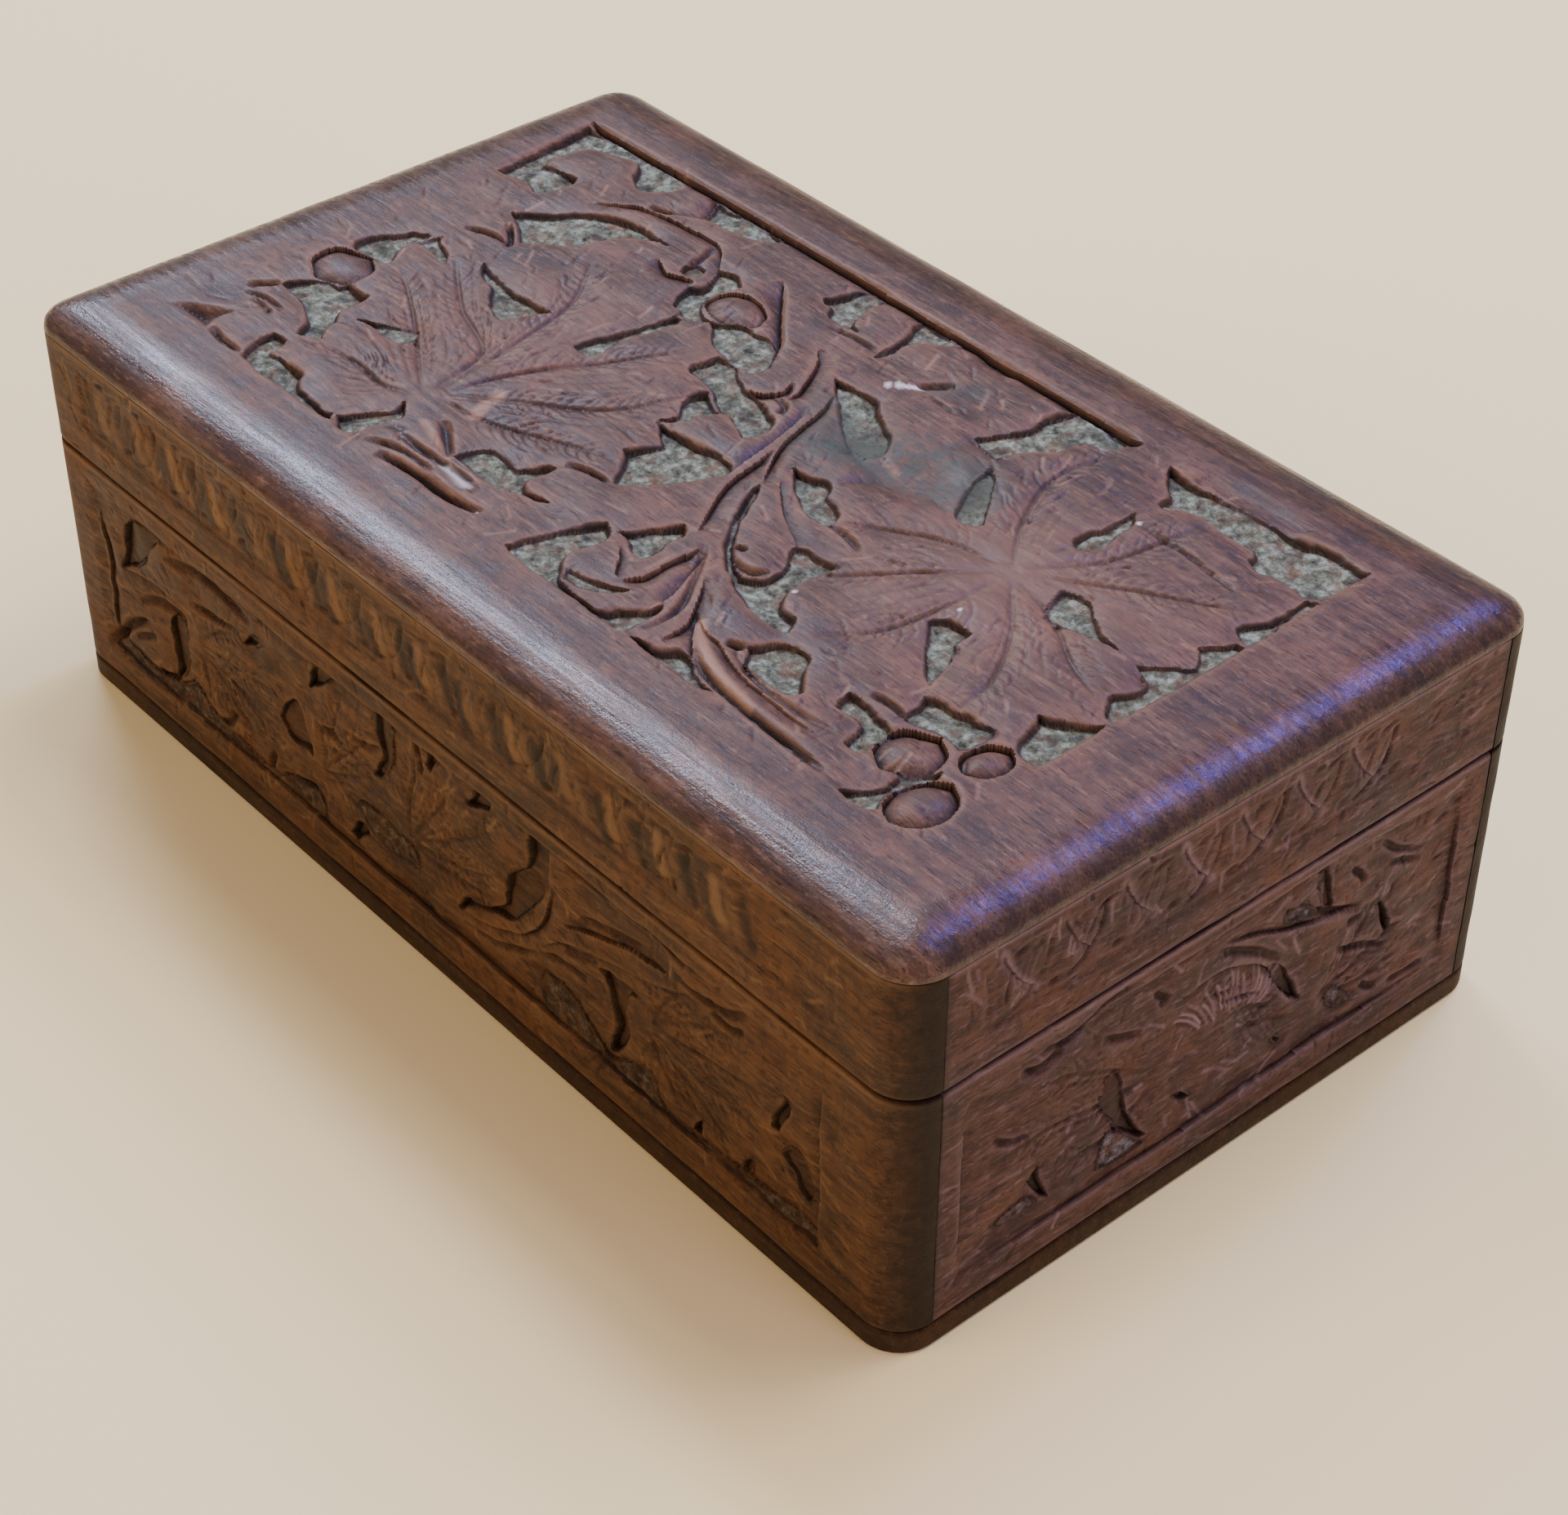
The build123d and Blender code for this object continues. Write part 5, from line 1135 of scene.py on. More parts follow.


# Marks laid on the lid, stains and wear and also painted shade and highlights: kind, strength, reach,
# then the line or the spot
topMarks = [
    ("smudge", 1, 11, [(137, 85), (146, 90), (152, 93), (158, 94), (162, 93)]),
    ("smudge", 0.7, 6, [(126, 92), (134, 90), (141, 84)]),
    ("smudge", 0.6, 4, [(137, 112), (142, 116)]),
    ("dirtAndShade", 0.8, 2.4, [(136.5, 84), (139.5, 85.4), (142, 87)]),
    # Painted glint: a white highlight along a cut facet
    ("pale", 1, 0.8, [(128.6, 105.4), (131, 107.4), (133.8, 109.2)]),
    ("wornAndHighlit", 0.9, 1.1, [(142, 90.6), (146, 89), (150, 88.4)]),
    # Painted highlight on a slanting facet
    ("pale", 0.6, 1.5, [(98, 27.6), (101.5, 27.3), (105, 26.9)]),
    ("wornAndHighlit", 0.9, 1.5, [(163, 32.6), (168.5, 28.6), (176, 25.8), (186, 23.6)]),
    ("wornAndHighlit", 0.8, 1.8, [(85, 49.4), (86.4, 45), (88, 41)]),
    ("wornAndHighlit", 0.7, 1.2, [(96, 30), (90, 31.4), (84, 33)]),
    ("dirtAndShade", 0.9, 0.9, [(50.5, 9.4), (53, 9), (55, 8.4)]),
    ("wornAndHighlit", 0.3, 36, [(190, 78)]),
    ("wornAndHighlit", 0.16, 26, [(70, 66)]),
    # Painted shade: the left and back margins are darker, and so is the fall of the right edge
    ("dirtAndShade", 0.26, 12, [(5, 24), (5, 70), (6, 138)]),
    ("dirtAndShade", 0.26, 12, [(6, 139), (120, 139), (244, 139)]),
    ("dirtAndShade", 0.5, 5, [(249.5, 10), (249.5, 70), (249.5, 135)]),
]
paleSpecks = [
    (36.5, 70.3), (40, 45.5), (166.5, 50), (171.5, 52.5), (188.5, 67.5), (190, 108.5), (112.5, 23.5),
]
topMarks += [("pale", 1, 0.6, [spot]) for spot in paleSpecks]

topField = (14.5, 20.5, 227.5, 127.5)
topSwell = {"height": 0.3, "size": (11, 8), "fade": 4}
topWear = {"pits": 0.35, "allowance": 0.25, "waves": 0.05, "waveSize": (14, 9)}
overhang = 2  # the raster reaches this far past the box, for the fall of the rounded edge
topRelief = Relief(-overhang, -overhang, length + overhang, width + overhang, pitch=0.34)
random = np.random.default_rng(11)
for drop, reach, side, line in topCreases:
    topRelief.crease(line, drop, reach, side)
for drop, reach, outline in topDomes:
    topRelief.dome(outline, drop, reach)
for depth, reach, outline in topScoops:
    topRelief.scoop(outline, depth, reach)
fieldEdge = [(13, 127), (60, 127.4), (120, 127.2), (173, 127)]
topRelief.crease(fieldEdge, drop=2.2, reach=4, side=-1, taper=0.02)
inField = np.clip(topRelief.inset(*topField) / topSwell["fade"], 0, 1)
swelling = unevenness(topRelief.u, topRelief.v, *topSwell["size"], 22)
topRelief.cut += topSwell["height"] * inField * swelling
carveLeaf(topRelief, leftLeafVeins, count=5, random=random)
carveLeaf(topRelief, rightLeafVeins, count=4, random=random)
hearts = [(77, 40), (186, 81), (150, 55)]
toolMarks(topRelief, field=(15, 21, 226, 126), count=800, hearts=hearts, random=random)
for depth, reach, line in topGrooves:
    topRelief.groove(line, depth, reach)
for depth, outline in topPockets.values():
    topRelief.pocket(outline, depth)
topRelief.roll(topField, drop=0.9, radius=1.6)
topRelief.weather(**topWear, pitSeed=21, waveSeed=4)
for kind, amount, reach, points in topMarks:
    topRelief.brush(kind, points, reach, amount)
handled = {"from": 13, "fade": 4}  # hands polish the rim of the lid, this far in from its sides
inset = topRelief.inset(0, 0, length, width)
topRelief.paint["handled"] = np.clip((handled["from"] - inset) / handled["fade"], 0, 1)
print("top carving cut,", len(topPockets), "pockets")


# How far in the lid's edge is rounded, the small step under it, where on the raster's fall that
# step starts and how soon it is over, and the plug's play in the rails
lidRound = {
    "front": 12.5, "back": 10.5, "right": 10.5, "left": 10.5,
    "step": 0.25, "stepFrom": 0.96, "stepRun": 0.04, "play": 0.15,
}


def lidPlace(u, v, cut):
    # The raster's middle is the lid's flat top. Past the core the surface rounds over and down to
    # the lip's underside; a square corner of the raster becomes a quarter turn.
    core = cornerRadius
    coreU = np.clip(u, core, length - core)
    coreV = np.clip(v, core, width - core)
    dx, dy = u - coreU, v - coreV
    run = np.maximum(np.abs(dx), np.abs(dy))
    steep = np.abs(dy) > np.abs(dx)
    tilt = np.where(steep, np.abs(dx), np.abs(dy)) / np.maximum(run, tiny) * math.pi / 4
    turn = np.where(steep, math.pi / 2 - tilt, tilt)
    outX, outY = np.cos(turn) * np.sign(dx), np.sin(turn) * np.sign(dy)
    bend = np.clip(run / (overhang + core), 0, 1)
    out = core * np.sin(bend * math.pi / 2) * (0.9 + 0.1 * bend)
    x, y = coreU + outX * out, coreV + outY * out
    reachX = np.where(x > length / 2, lidRound["right"], lidRound["left"])
    reachY = np.where(y > width / 2, lidRound["back"], lidRound["front"])
    sideX = np.clip(1 - np.minimum(x, length - x) / reachX, 0, 1)
    sideY = np.clip(1 - np.minimum(y, width - y) / reachY, 0, 1)
    sides = (sideX**4 + sideY**4) ** 0.25
    reach = reachX * np.cos(turn) ** 2 + reachY * np.sin(turn) ** 2
    corner = (dx != 0) & (dy != 0)
    blend = np.where(corner, (out / core) ** 2, 0)
    t = np.clip(sides * (1 - blend) + (1 - (core - out) / reach) * blend, 0, 1)
    fall = height - lipUnderside - lidRound["step"]
    level = np.sqrt(1 - t * t)
    down = np.clip((bend - lidRound["stepFrom"]) / lidRound["stepRun"], 0, 1)
    z = height - fall * (1 - level) - lidRound["step"] * down
    awayX = np.where(run > 0, outX, np.sign(u - length / 2) * sideX)
    awayY = np.where(run > 0, outY, np.sign(v - width / 2) * sideY)
    return np.column_stack([
        x + awayX * cut * t - length / 2,
        y + awayY * cut * t - width / 2,
        z + cut * level,
    ])


def makeLidBoard():
    points, faces, marks, (u, v, rows, columns) = triangulate(topRelief, lidPlace)
    lastRow, lastColumn = topRelief.rows - 1, topRelief.columns - 1
    around = edgeRun(rows == 0, u)
    around += edgeRun((columns == lastColumn) & (rows > 0), v)
    around += edgeRun((rows == lastRow) & (columns < lastColumn), -u)
    around += edgeRun((columns == 0) & (rows > 0) & (rows < lastRow), -v)
    points[around, 2] = lipUnderside
    plug = np.array([length / 2, width / 2]) - thickness - lidRound["play"]
    corner = points[around]
    corner[:, :2] = np.clip(corner[:, :2], -plug, plug)
    low = corner.copy()
    low[:, 2] = plugUnderside
    carved, count, ring = len(faces), len(points), len(around)
    for k in range(ring):
        n = (k + 1) % ring
        faces.append((around[k], count + k, count + n, around[n]))
        faces.append((count + k, count + ring + k, count + ring + n, count + n))
    faces.append(tuple(range(count + ring, count + 2 * ring)))
    points = np.vstack([points, corner, low])
    addBoard("carvedLidBoard", points, faces, marks, carved, lidWalnut, "lid", "lid_board")


makeLidBoard()


# The walls. Heights are from the table. Front and back are alike, and so are the two ends.

longWallPockets = {
    "scrollRecess": (2.6, [
        (21.5, 35), (24, 40), (25.3, 46.5), (28, 49.4), (31, 50.3), (39, 50.2), (36, 47),
        (33.5, 44), (31, 41), (28, 38.5), (25, 36.6),
    ]),
    "scrollSlit": (2.8, [
        (38.2, 31), (40, 33.2), (44.8, 33.2), (45.3, 31), (44.2, 28), (43.8, 24), (42, 20.5),
        (39, 17), (37.5, 17.4), (38.5, 21), (38.6, 26),
    ]),
    "leftLeafNotch": (2, [
        (66.5, 41.6), (67.5, 43.5), (69, 45), (71, 45.6), (73.5, 45), (72, 44), (69.5, 42.8),
    ]),
    "leftLeafHole": (2.8, [
        (76.3, 30.5), (78, 34), (80, 36.2), (83, 38), (84.5, 36), (86, 33), (87.6, 30),
        (87.5, 27.5), (83.5, 27), (80, 27), (78, 28.5),
    ]),
    "rimHoleLeft": (2.6, [
        (88.2, 44), (88.8, 47), (90, 50), (93, 51.2), (96.5, 50.6), (95, 48.5), (92, 46.4),
        (90, 45),
    ]),
    "leafGap": (2.6, [
        (109.6, 51.8), (114.5, 51.6), (115, 48), (114.6, 44), (113, 40), (110, 36), (107.5, 35.4),
        (108.8, 38.5), (110.6, 42), (109.5, 46),
    ]),
    "rimHoleMiddle": (2.4, [
        (125.4, 53), (130, 53), (128.6, 51), (127, 47.8), (125.2, 48.5), (125.6, 51),
    ]),
    "rimHoleRight": (2.4, [
        (138.6, 50), (140, 52.4), (144.6, 52.4), (144, 50), (141.5, 48.4), (138, 47),
        (136.6, 47.4),
    ]),
    "bigCrescent": (2.8, [
        (154.8, 52), (161, 52.2), (160.6, 47), (159, 41), (156, 36), (152.5, 31.5), (148, 27.4),
        (143, 25.4), (138, 23.6), (133, 20), (132, 20.6), (134.5, 24.5), (139, 25.8), (144, 27.8),
        (146.4, 30.5), (146.8, 35), (147.6, 38.4), (151.5, 41.5), (154, 45),
    ]),
    "underStem": (2.8, [
        (173, 34), (178, 34.8), (186, 35), (181.5, 33), (180.6, 29), (181.6, 25), (180, 20.5),
        (177.5, 17), (175.5, 16.6), (176, 20), (177.4, 24), (176, 28), (175.5, 31),
    ]),
    "rightLeafEdge": (2.6, [
        (218.4, 31), (218.8, 34.5), (220.6, 37.5), (222, 40.4), (223.4, 39), (222.6, 36),
        (221, 33), (220.4, 30.8),
    ]),
    "rightLeafFoot": (2.8, [
        (220.6, 26.6), (222.5, 29.5), (225.5, 30), (227.8, 27), (228.6, 22), (227.4, 20.2),
        (225, 21), (223.8, 24), (222, 25),
    ]),
    "smallCutLeft": (2.4, [
        (98, 16), (100, 20), (103.5, 21), (104.5, 19), (102, 17), (100, 14.8),
    ]),
    "smallCutMiddle": (2.2, [
        (198.2, 14.6), (199.4, 17.5), (201.6, 19.5), (200.8, 17), (200.2, 14.8),
    ]),
    "smallCutRight": (2.2, [
        (210, 14.4), (211.6, 18), (213.6, 20.2), (213.8, 17.5), (212.4, 14.6),
    ]),
    "lowGroundLeft": (1.4, [
        (14.5, 12.4), (17.5, 15.6), (24, 15.6), (31, 14.6), (37, 16), (42, 18.5), (46, 20.5),
        (51, 17.6), (57, 15.6), (64, 15.6), (70, 14.4), (77, 16), (88, 19), (90, 16.5), (88, 13),
        (60, 12.4), (25, 12),
    ]),
    "lowGroundMiddle": (1.2, [
        (101, 25), (104, 27), (110, 27.5), (116, 27), (120, 25.5), (121, 22), (114, 19.5),
        (108, 20), (103, 22),
    ]),
    "lowGroundRight": (1.4, [
        (157, 22), (163, 22.6), (168, 21), (172.6, 17), (175, 14.6), (178, 16), (184, 20),
        (189, 19.5), (190.4, 15), (196, 13.6), (205, 14.5), (215, 15), (226, 17), (230, 16),
        (231, 12.4), (200, 12.4), (170, 12.6), (158, 14), (156, 18),
    ]),
}
# Depth, reach, then the line
longWallGrooves = [
    (1.6, 1.7, [(12.5, 11.8), (18, 17), (22, 21), (28, 25.2), (31.5, 26)]),
    (1.1, 1.4, [(24, 19.6), (28, 21.6), (32.5, 24)]),
    (1.3, 1.6, [(28, 30.5), (33, 33), (38, 34), (45, 34)]),
    (1.2, 1.5, [(31, 15), (36, 16), (39.5, 18.5)]),
    (1.1, 1.4, [(48, 41), (55, 41.4), (60, 42.4), (65, 43.8)]),
    (1.1, 1.5, [(40, 47), (46, 48), (52, 49.2), (58, 49.4), (64, 48.4), (70, 47.4)]),
    (1.2, 1.5, [(54, 16), (57.5, 17.6), (59.6, 21)]),
    (1.2, 1.4, [(70.4, 13.8), (71.6, 17), (73, 19.6)]),
    (1.0, 1.4, [(90, 36), (94, 37), (99, 36.8)]),
    (0.9, 1.3, [(100, 41), (106, 41), (110.4, 42.8)]),
    (1.0, 1.4, [(75, 15.4), (81, 17.2), (87, 19)]),
    (1.4, 1.6, [(121, 51.6), (123, 48), (122.4, 45)]),
    (1.1, 1.5, [(160, 32), (166, 32.4), (173, 34.6)]),
    (1.3, 1.6, [(168, 41), (174, 43.4), (180, 45.2), (188, 46.8)]),
    (1.2, 1.5, [(194, 47.2), (200, 46.6), (207, 47.4), (212.4, 50.4)]),
    (1.2, 1.4, [(203, 45), (208, 44.4), (211.6, 46.2)]),
    (1.0, 1.3, [(157, 26), (163, 28.4), (170, 28.6)]),
    (0.9, 1.2, [(133, 17.6), (142, 18.8), (151, 22.4), (158, 27)]),
    (0.9, 1.3, [(165, 51.4), (171, 51.6), (177, 51.2)]),
    (0.8, 1.2, [(184, 52), (190, 52), (197, 50.8)]),
]
# Drop, reach, lowered side (1 is left of the line), then the line
longWallCreases = [
    (0.9, 4, -1, [(16.6, 15), (17.2, 30), (16.8, 47)]),
    (0.9, 4, -1, [(17, 51), (60, 51.2), (108, 51.8), (150, 53), (229, 51.4)]),
    (1.0, 4, 1, [(17, 12.6), (70, 12.4), (150, 12.6), (229, 12.6)]),
    (0.9, 4, 1, [(230, 15), (230.4, 30), (230, 48)]),
    (1.1, 4, -1, [(22, 35), (28, 36.6), (35, 37.4), (43, 37.4), (50, 36)]),
    (1.0, 3.5, -1, [(131, 20), (141, 22), (149, 25.4), (155, 30), (159, 36), (161, 44)]),
    (1.0, 3.5, -1, [(158, 29), (166, 34.4), (176, 37), (187, 40.4), (199, 44.6)]),
    (0.9, 3.5, 1, [(164, 37.6), (173, 40.6), (182, 44), (193, 45.8)]),
]
longWallVeins = [
    [[(50, 33), (56, 38), (63, 42), (69, 46)], [(50, 32), (60, 33), (68, 34), (76, 36)],
     [(50, 31), (60, 28), (68, 26), (76, 24)], [(50, 30), (56, 26), (62, 21), (67, 17)],
     [(49, 30), (50, 25), (51, 22), (51, 19)]],
    [[(91, 27), (93, 34), (96, 41), (99, 49)], [(91, 27), (97, 33), (103, 39), (108, 45)],
     [(91, 26), (98, 29), (103, 32), (107, 34)], [(91, 25), (96, 25), (100, 24), (104, 22)]],
    [[(119, 28), (119, 36), (120, 43), (122, 50)], [(119, 28), (124, 35), (129, 42), (133, 49)],
     [(120, 28), (129, 33), (137, 39), (145, 46)], [(120, 27), (130, 29), (139, 32), (147, 37)],
     [(120, 26), (128, 26), (136, 27), (144, 29)]],
    [[(188, 32), (190, 37), (193, 41), (198, 45)], [(188, 32), (196, 37), (204, 41), (211, 44)],
     [(188, 31), (198, 33), (208, 35), (217, 37)], [(188, 30), (198, 28), (208, 27), (217, 27)],
     [(188, 30), (195, 25), (203, 21), (210, 18)], [(187, 30), (189, 25), (192, 21), (195, 18)]],
]

endWallPockets = {
    "bigWedge": (2.8, [
        (45, 31), (46, 35), (49.6, 35.6), (50.4, 32), (51, 28), (52.6, 23.5), (55, 19), (57, 16),
        (54.6, 16.6), (51, 20.5), (47.6, 25), (45.6, 28.5),
    ]),
    "paleGround": (1.4, [
        (45, 15.4), (45.6, 20), (47, 23.4), (50.4, 21), (54, 17.2), (57, 14.6), (52, 14),
        (48, 14.6),
    ]),
    "smallWedge": (2.4, [
        (28, 24), (30.4, 25.6), (31, 27), (31.4, 24), (32.4, 20.5), (33.8, 17), (31.5, 18.6),
        (29.6, 21.5),
    ]),
    "smallWedgeGround": (1, [
        (21, 17.6), (23, 19.4), (26.6, 20.2), (29.6, 19.4), (31.4, 17.4), (26, 16.6),
    ]),
    "stemCrescent": (2.6, [
        (83.6, 38.5), (86.4, 37), (89.4, 34), (91, 31), (92.4, 27.5), (94.2, 25), (91.6, 26),
        (89.2, 28.4), (87.4, 31.4), (85.6, 35),
    ]),
    "leafNick": (2, [
        (61.6, 23.2), (64.6, 21.4), (68, 18.4), (65, 18.8), (62.8, 20.8),
    ]),
    "rimSlit": (2.4, [
        (94.6, 53), (97, 52.4), (98.6, 48), (99.4, 44), (99.2, 41.8), (97, 43.6), (95.4, 47),
        (94, 50),
    ]),
    "rimGround": (1.2, [
        (86, 47.6), (89, 48.4), (92.4, 47), (95, 44.6), (97.4, 42.2), (93.6, 43), (90, 44.8),
        (87, 46),
    ]),
    "rightSlit": (2.4, [
        (112, 37.6), (114, 35), (115.8, 31), (116.2, 28), (114.4, 27.6), (113.2, 31), (112.2, 34),
    ]),
    "lowNick": (2, [
        (86.6, 19.6), (88.6, 20), (90.4, 17.6), (88.6, 16.8),
    ]),
    "lowGround": (1.2, [
        (100.6, 21.6), (102.8, 22.4), (105.4, 19.6), (108, 16.6), (104.6, 16.4), (101.6, 18.4),
    ]),
}
endWallGrooves = [
    (1.0, 1.4, [(30, 53), (34, 51), (38, 51.6), (44, 54), (52, 54.2)]),
    (1.0, 1.5, [(26, 49), (30, 48.2), (35, 50)]),
    (1.2, 1.6, [(70, 49), (77, 45.4), (83, 41.4), (87, 37.6)]),
    (1.0, 1.4, [(85, 50), (92, 45.4), (99, 41.6), (107, 38)]),
    (0.9, 1.2, [(111, 50.6), (115, 46.8), (121.6, 43.4)]),
    (0.8, 1.2, [(113, 44.6), (117, 43.2), (122, 41)]),
    (1.0, 1.2, [(103.6, 48.4), (106, 46), (107.6, 43.6)]),
    (0.9, 1.2, [(117, 15), (121.6, 14.6), (126.6, 15)]),
    (0.9, 1.3, [(110, 18.4), (112, 17), (114, 16)]),
    (1.0, 1.3, [(101, 32), (105, 29.4), (109, 28), (115, 25)]),
    (0.8, 1.2, [(104, 36), (108, 35.2)]),
    (1.0, 1.3, [(20.4, 38), (24, 36), (28.4, 35)]),
    (0.9, 1.3, [(44, 45.6), (49, 43.4), (53, 42)]),
    (0.9, 1.3, [(56, 48.6), (58.4, 46.2), (57, 45)]),
]
endWallCreases = [
    (0.8, 4, -1, [(13.4, 15), (13.2, 30), (13.6, 47)]),
    (0.9, 4, -1, [(18, 51), (40, 52.6), (70, 53.4), (100, 54), (128, 51)]),
    (0.9, 4, 1, [(18, 12), (60, 11.6), (100, 12), (128, 12.6)]),
    (0.8, 4, 1, [(131.4, 15), (131.6, 30), (131, 47)]),
    (1.2, 5, -1, [(60, 43.4), (70, 44.6), (78, 42), (84, 37.6), (89, 30)]),
    (0.9, 4, 1, [(72, 50), (82, 46.4), (92, 42.6), (107, 38.4)]),
]
# A fan of gouge strokes over the arched leaf: where the first one starts and its angle, and how
# far each one shifts and turns from the one before
endWallFan = {"strokes": 15, "from": (69, 31), "shift": (0.7, -0.25), "angle": 126, "turn": -6.6}
endWallVeins = [
    [[(58, 30), (48, 36), (38, 42), (28, 45)], [(58, 29), (46, 30), (34, 33), (22, 34)],
     [(58, 28), (50, 22), (40, 22), (34, 26)]],
    [[(66, 40), (73, 38.4), (79, 36.4), (80, 36)], [(70, 36.6), (77, 34.8), (83, 32.6), (85, 32)],
     [(74, 31.6), (80, 30.4), (85, 28.4), (88, 27)], [(76, 27), (82, 25.6), (87, 24.2), (90, 23)]],
    [[(98, 22), (104, 27), (109, 33), (111, 38)], [(98, 22), (106, 24), (112, 26), (118, 30)],
     [(98, 21), (106, 20), (113, 20), (120, 22)]],
]

# One leaflet's gap on a rail, from the leaflet's middle and from the seam
leafletGap = [
    (-6, 7.8), (-1, 8.2), (3, 9.8), (5.6, 12.6), (7.2, 16), (8, 20.2), (5.6, 19.6), (5.4, 16.4),
    (4, 13.4), (1.6, 11), (-2, 9.4),
]
leafletBody = [
    (-7.4, 9.6), (-3.4, 8.6), (1.4, 10.4), (4.4, 14), (6.4, 19), (5.6, 21.4), (0.6, 20.4), (-4.4, 15.6),
]
leafletRim = [(-4.4, 22), (-2.6, 18), (-0.4, 14.4), (3.4, 10.6)]
leafletLights = [(-0.8, 13.6, 2.1, 1), (2.8, 12.4, 1.5, 0.6)]  # painted highlights and wear down the leaflet: middle, reach and strength
leafletDarks = [(-4, 12.4), (5.8, 13.4)]  # painted shade at the leaflet's sides
leafletCuts = [(2, 19.4, 5), (-1.5, 20.2, 3.4), (6.4, 9.4, 3)]  # slanting cuts: start and run
# The band of leaflets: how far from a rail's ends it starts and its height above the seam
frieze = {
    "margin": 17, "low": 7, "high": 21.5,
    "start": 24, "pitch": 13, "longCount": 15, "endCount": 7, "depth": 1.4,
}
# How deep the band is sunk, how strong the painted highlights (with wear) and the painted shade on its
# leaflets are, and how open, soft and rimmed its gaps are
longFrieze = {"sink": 0.6, "wear": 0.75, "grimeAndShade": 0.85, "gap": 0.42, "soft": 2, "rim": 0}
endFrieze = {"sink": 0.5, "wear": 0.15, "grimeAndShade": 0.3, "gap": 0.45, "soft": 1.6, "rim": 0.6}


# The walls' carved field is sunk below its plain rim, and swells in broad bumps and finer ones
wallSwell = {"sink": 0.6, "height": 0.5, "size": (9, 7), "fine": 0.4, "fineSize": (3.5, 3), "fade": 3}


def carveWall(relief, pockets, grooves, creases, fans, field, seed):
    random = np.random.default_rng(seed)
    left, bottom, right, top = field
    swelling = unevenness(relief.u, relief.v, *wallSwell["size"], seed)
    swelling += wallSwell["fine"] * unevenness(relief.u, relief.v, *wallSwell["fineSize"], seed + 9)
    inField = np.clip(relief.inset(*field) / wallSwell["fade"], 0, 1)
    relief.cut += inField * (wallSwell["height"] * swelling - wallSwell["sink"])
    for drop, reach, side, line in creases:
        relief.crease(line, drop, reach, side)
    for veins in fans:
        carveLeaf(relief, veins, 3, random, 0.42)
    hearts = [veins[0][0] for veins in fans]
    toolMarks(relief, field, round((right - left) * (top - bottom) / 16), hearts, random)
    for depth, reach, line in grooves:
        relief.groove(line, depth, reach)
    for depth, outline in pockets.values():
        relief.pocket(outline, depth, dusty=depth < 1.6)


def carveRail(relief, count, faceLength, look, random):
    # A band of leaflets, each one overlapping the next
    left, right = frieze["margin"], faceLength - frieze["margin"]
    inset = relief.inset(left, seam + frieze["low"], right, seam + frieze["high"])
    relief.cut -= look["sink"] * np.clip(inset / 2.2, 0, 1)
    middles = [frieze["start"] + k * frieze["pitch"] for k in range(count)]
    for middle in middles:
        shift = random.uniform(-0.7, 0.7, 2)
        grow = random.uniform(0.75, 1.1)
        body = [(middle + x * grow + shift[0], seam + y + shift[1]) for x, y in leafletBody]
        relief.swell(body, look["sink"] * random.uniform(0.5, 1), 4.4)
        # Painted highlights down each leaflet's belly, then painted shade at its sides
        for x, y, reach, amount in leafletLights:
            x, y = middle + x + shift[0], seam + y + shift[1]
            light = [(x - 1, y + 3.6), (x, y), (x + 1.1, y - 3.4)]
            relief.brush("wornAndHighlit", light, reach, look["wear"] * amount * random.uniform(0.5, 1))
        for x, y in leafletDarks:
            x, y = middle + x + shift[0], seam + y + shift[1]
            dark = [(x - 0.8, y + 3.4), (x, y), (x + 1.6, y - 3.4)]
            relief.brush("dirtAndShade", dark, 1.9, look["grimeAndShade"] * random.uniform(0.4, 1))
        for x, y, run in leafletCuts:
            x, y = middle + x + shift[1], seam + y + shift[0]
            relief.groove([(x, y), (x + run, y + 0.3 * run)], 0.45 * random.uniform(0.6, 1.3), 1, 0.4)
        for share in random.uniform(0, 1, 5):
            x, y = middle - 4 + 7 * share, seam + 10.6 + 2.5 * share
            stroke = [(x, y), (x + 0.6, y + 3), (x + 2.2, y + random.uniform(5, 7.5))]
            relief.groove(stroke, random.uniform(0.1, 0.28), 0.7)
        gap = [(middle + x * grow + shift[0], seam + y + shift[1]) for x, y in leafletGap]
        relief.scoop(gap, frieze["depth"] * look["gap"] * random.uniform(0.6, 1.5), look["soft"])
        if look["rim"]:
            edge = [(middle + x, seam + y) for x, y in leafletRim]
            relief.crease(edge, 0.5, 3.2, -1)
            relief.brush("wornAndHighlit", edge, 1.3, look["rim"] * random.uniform(0.3, 1))
    for line in (
        [(left, seam + 7.4), (faceLength / 2, seam + 7.2), (right, seam + 7.4)],
        [(left, seam + 8), (left + 0.2, seam + 14), (left, seam + 20)],
        [(right, seam + 8), (right, seam + 14), (right, seam + 20)],
    ):
        relief.groove(line, 0.35, 1.4, taper=0.02)
    hearts = [(middle - 8, seam + 4) for middle in middles]
    field = (12, seam + 2, faceLength - 12, seam + 23)
    toolMarks(relief, field, round(faceLength * 1.1), hearts, random)


seamGap = 0.35  # the lid rests on the inner edge, and the outer one stays a dark line
sideWear = {"pits": 0.3, "allowance": 0.3, "waves": 0.06, "waveSize": (11, 6)}
rimRub = {"reach": 0.8, "most": 0.5}  # just inside the rounded upper edge
jointDarkening = {"reach": 1.6, "most": 0.7}
cornerDarkening = {"reach": 10, "most": 0.9}  # the box's rounded corners are darker, over this run of them
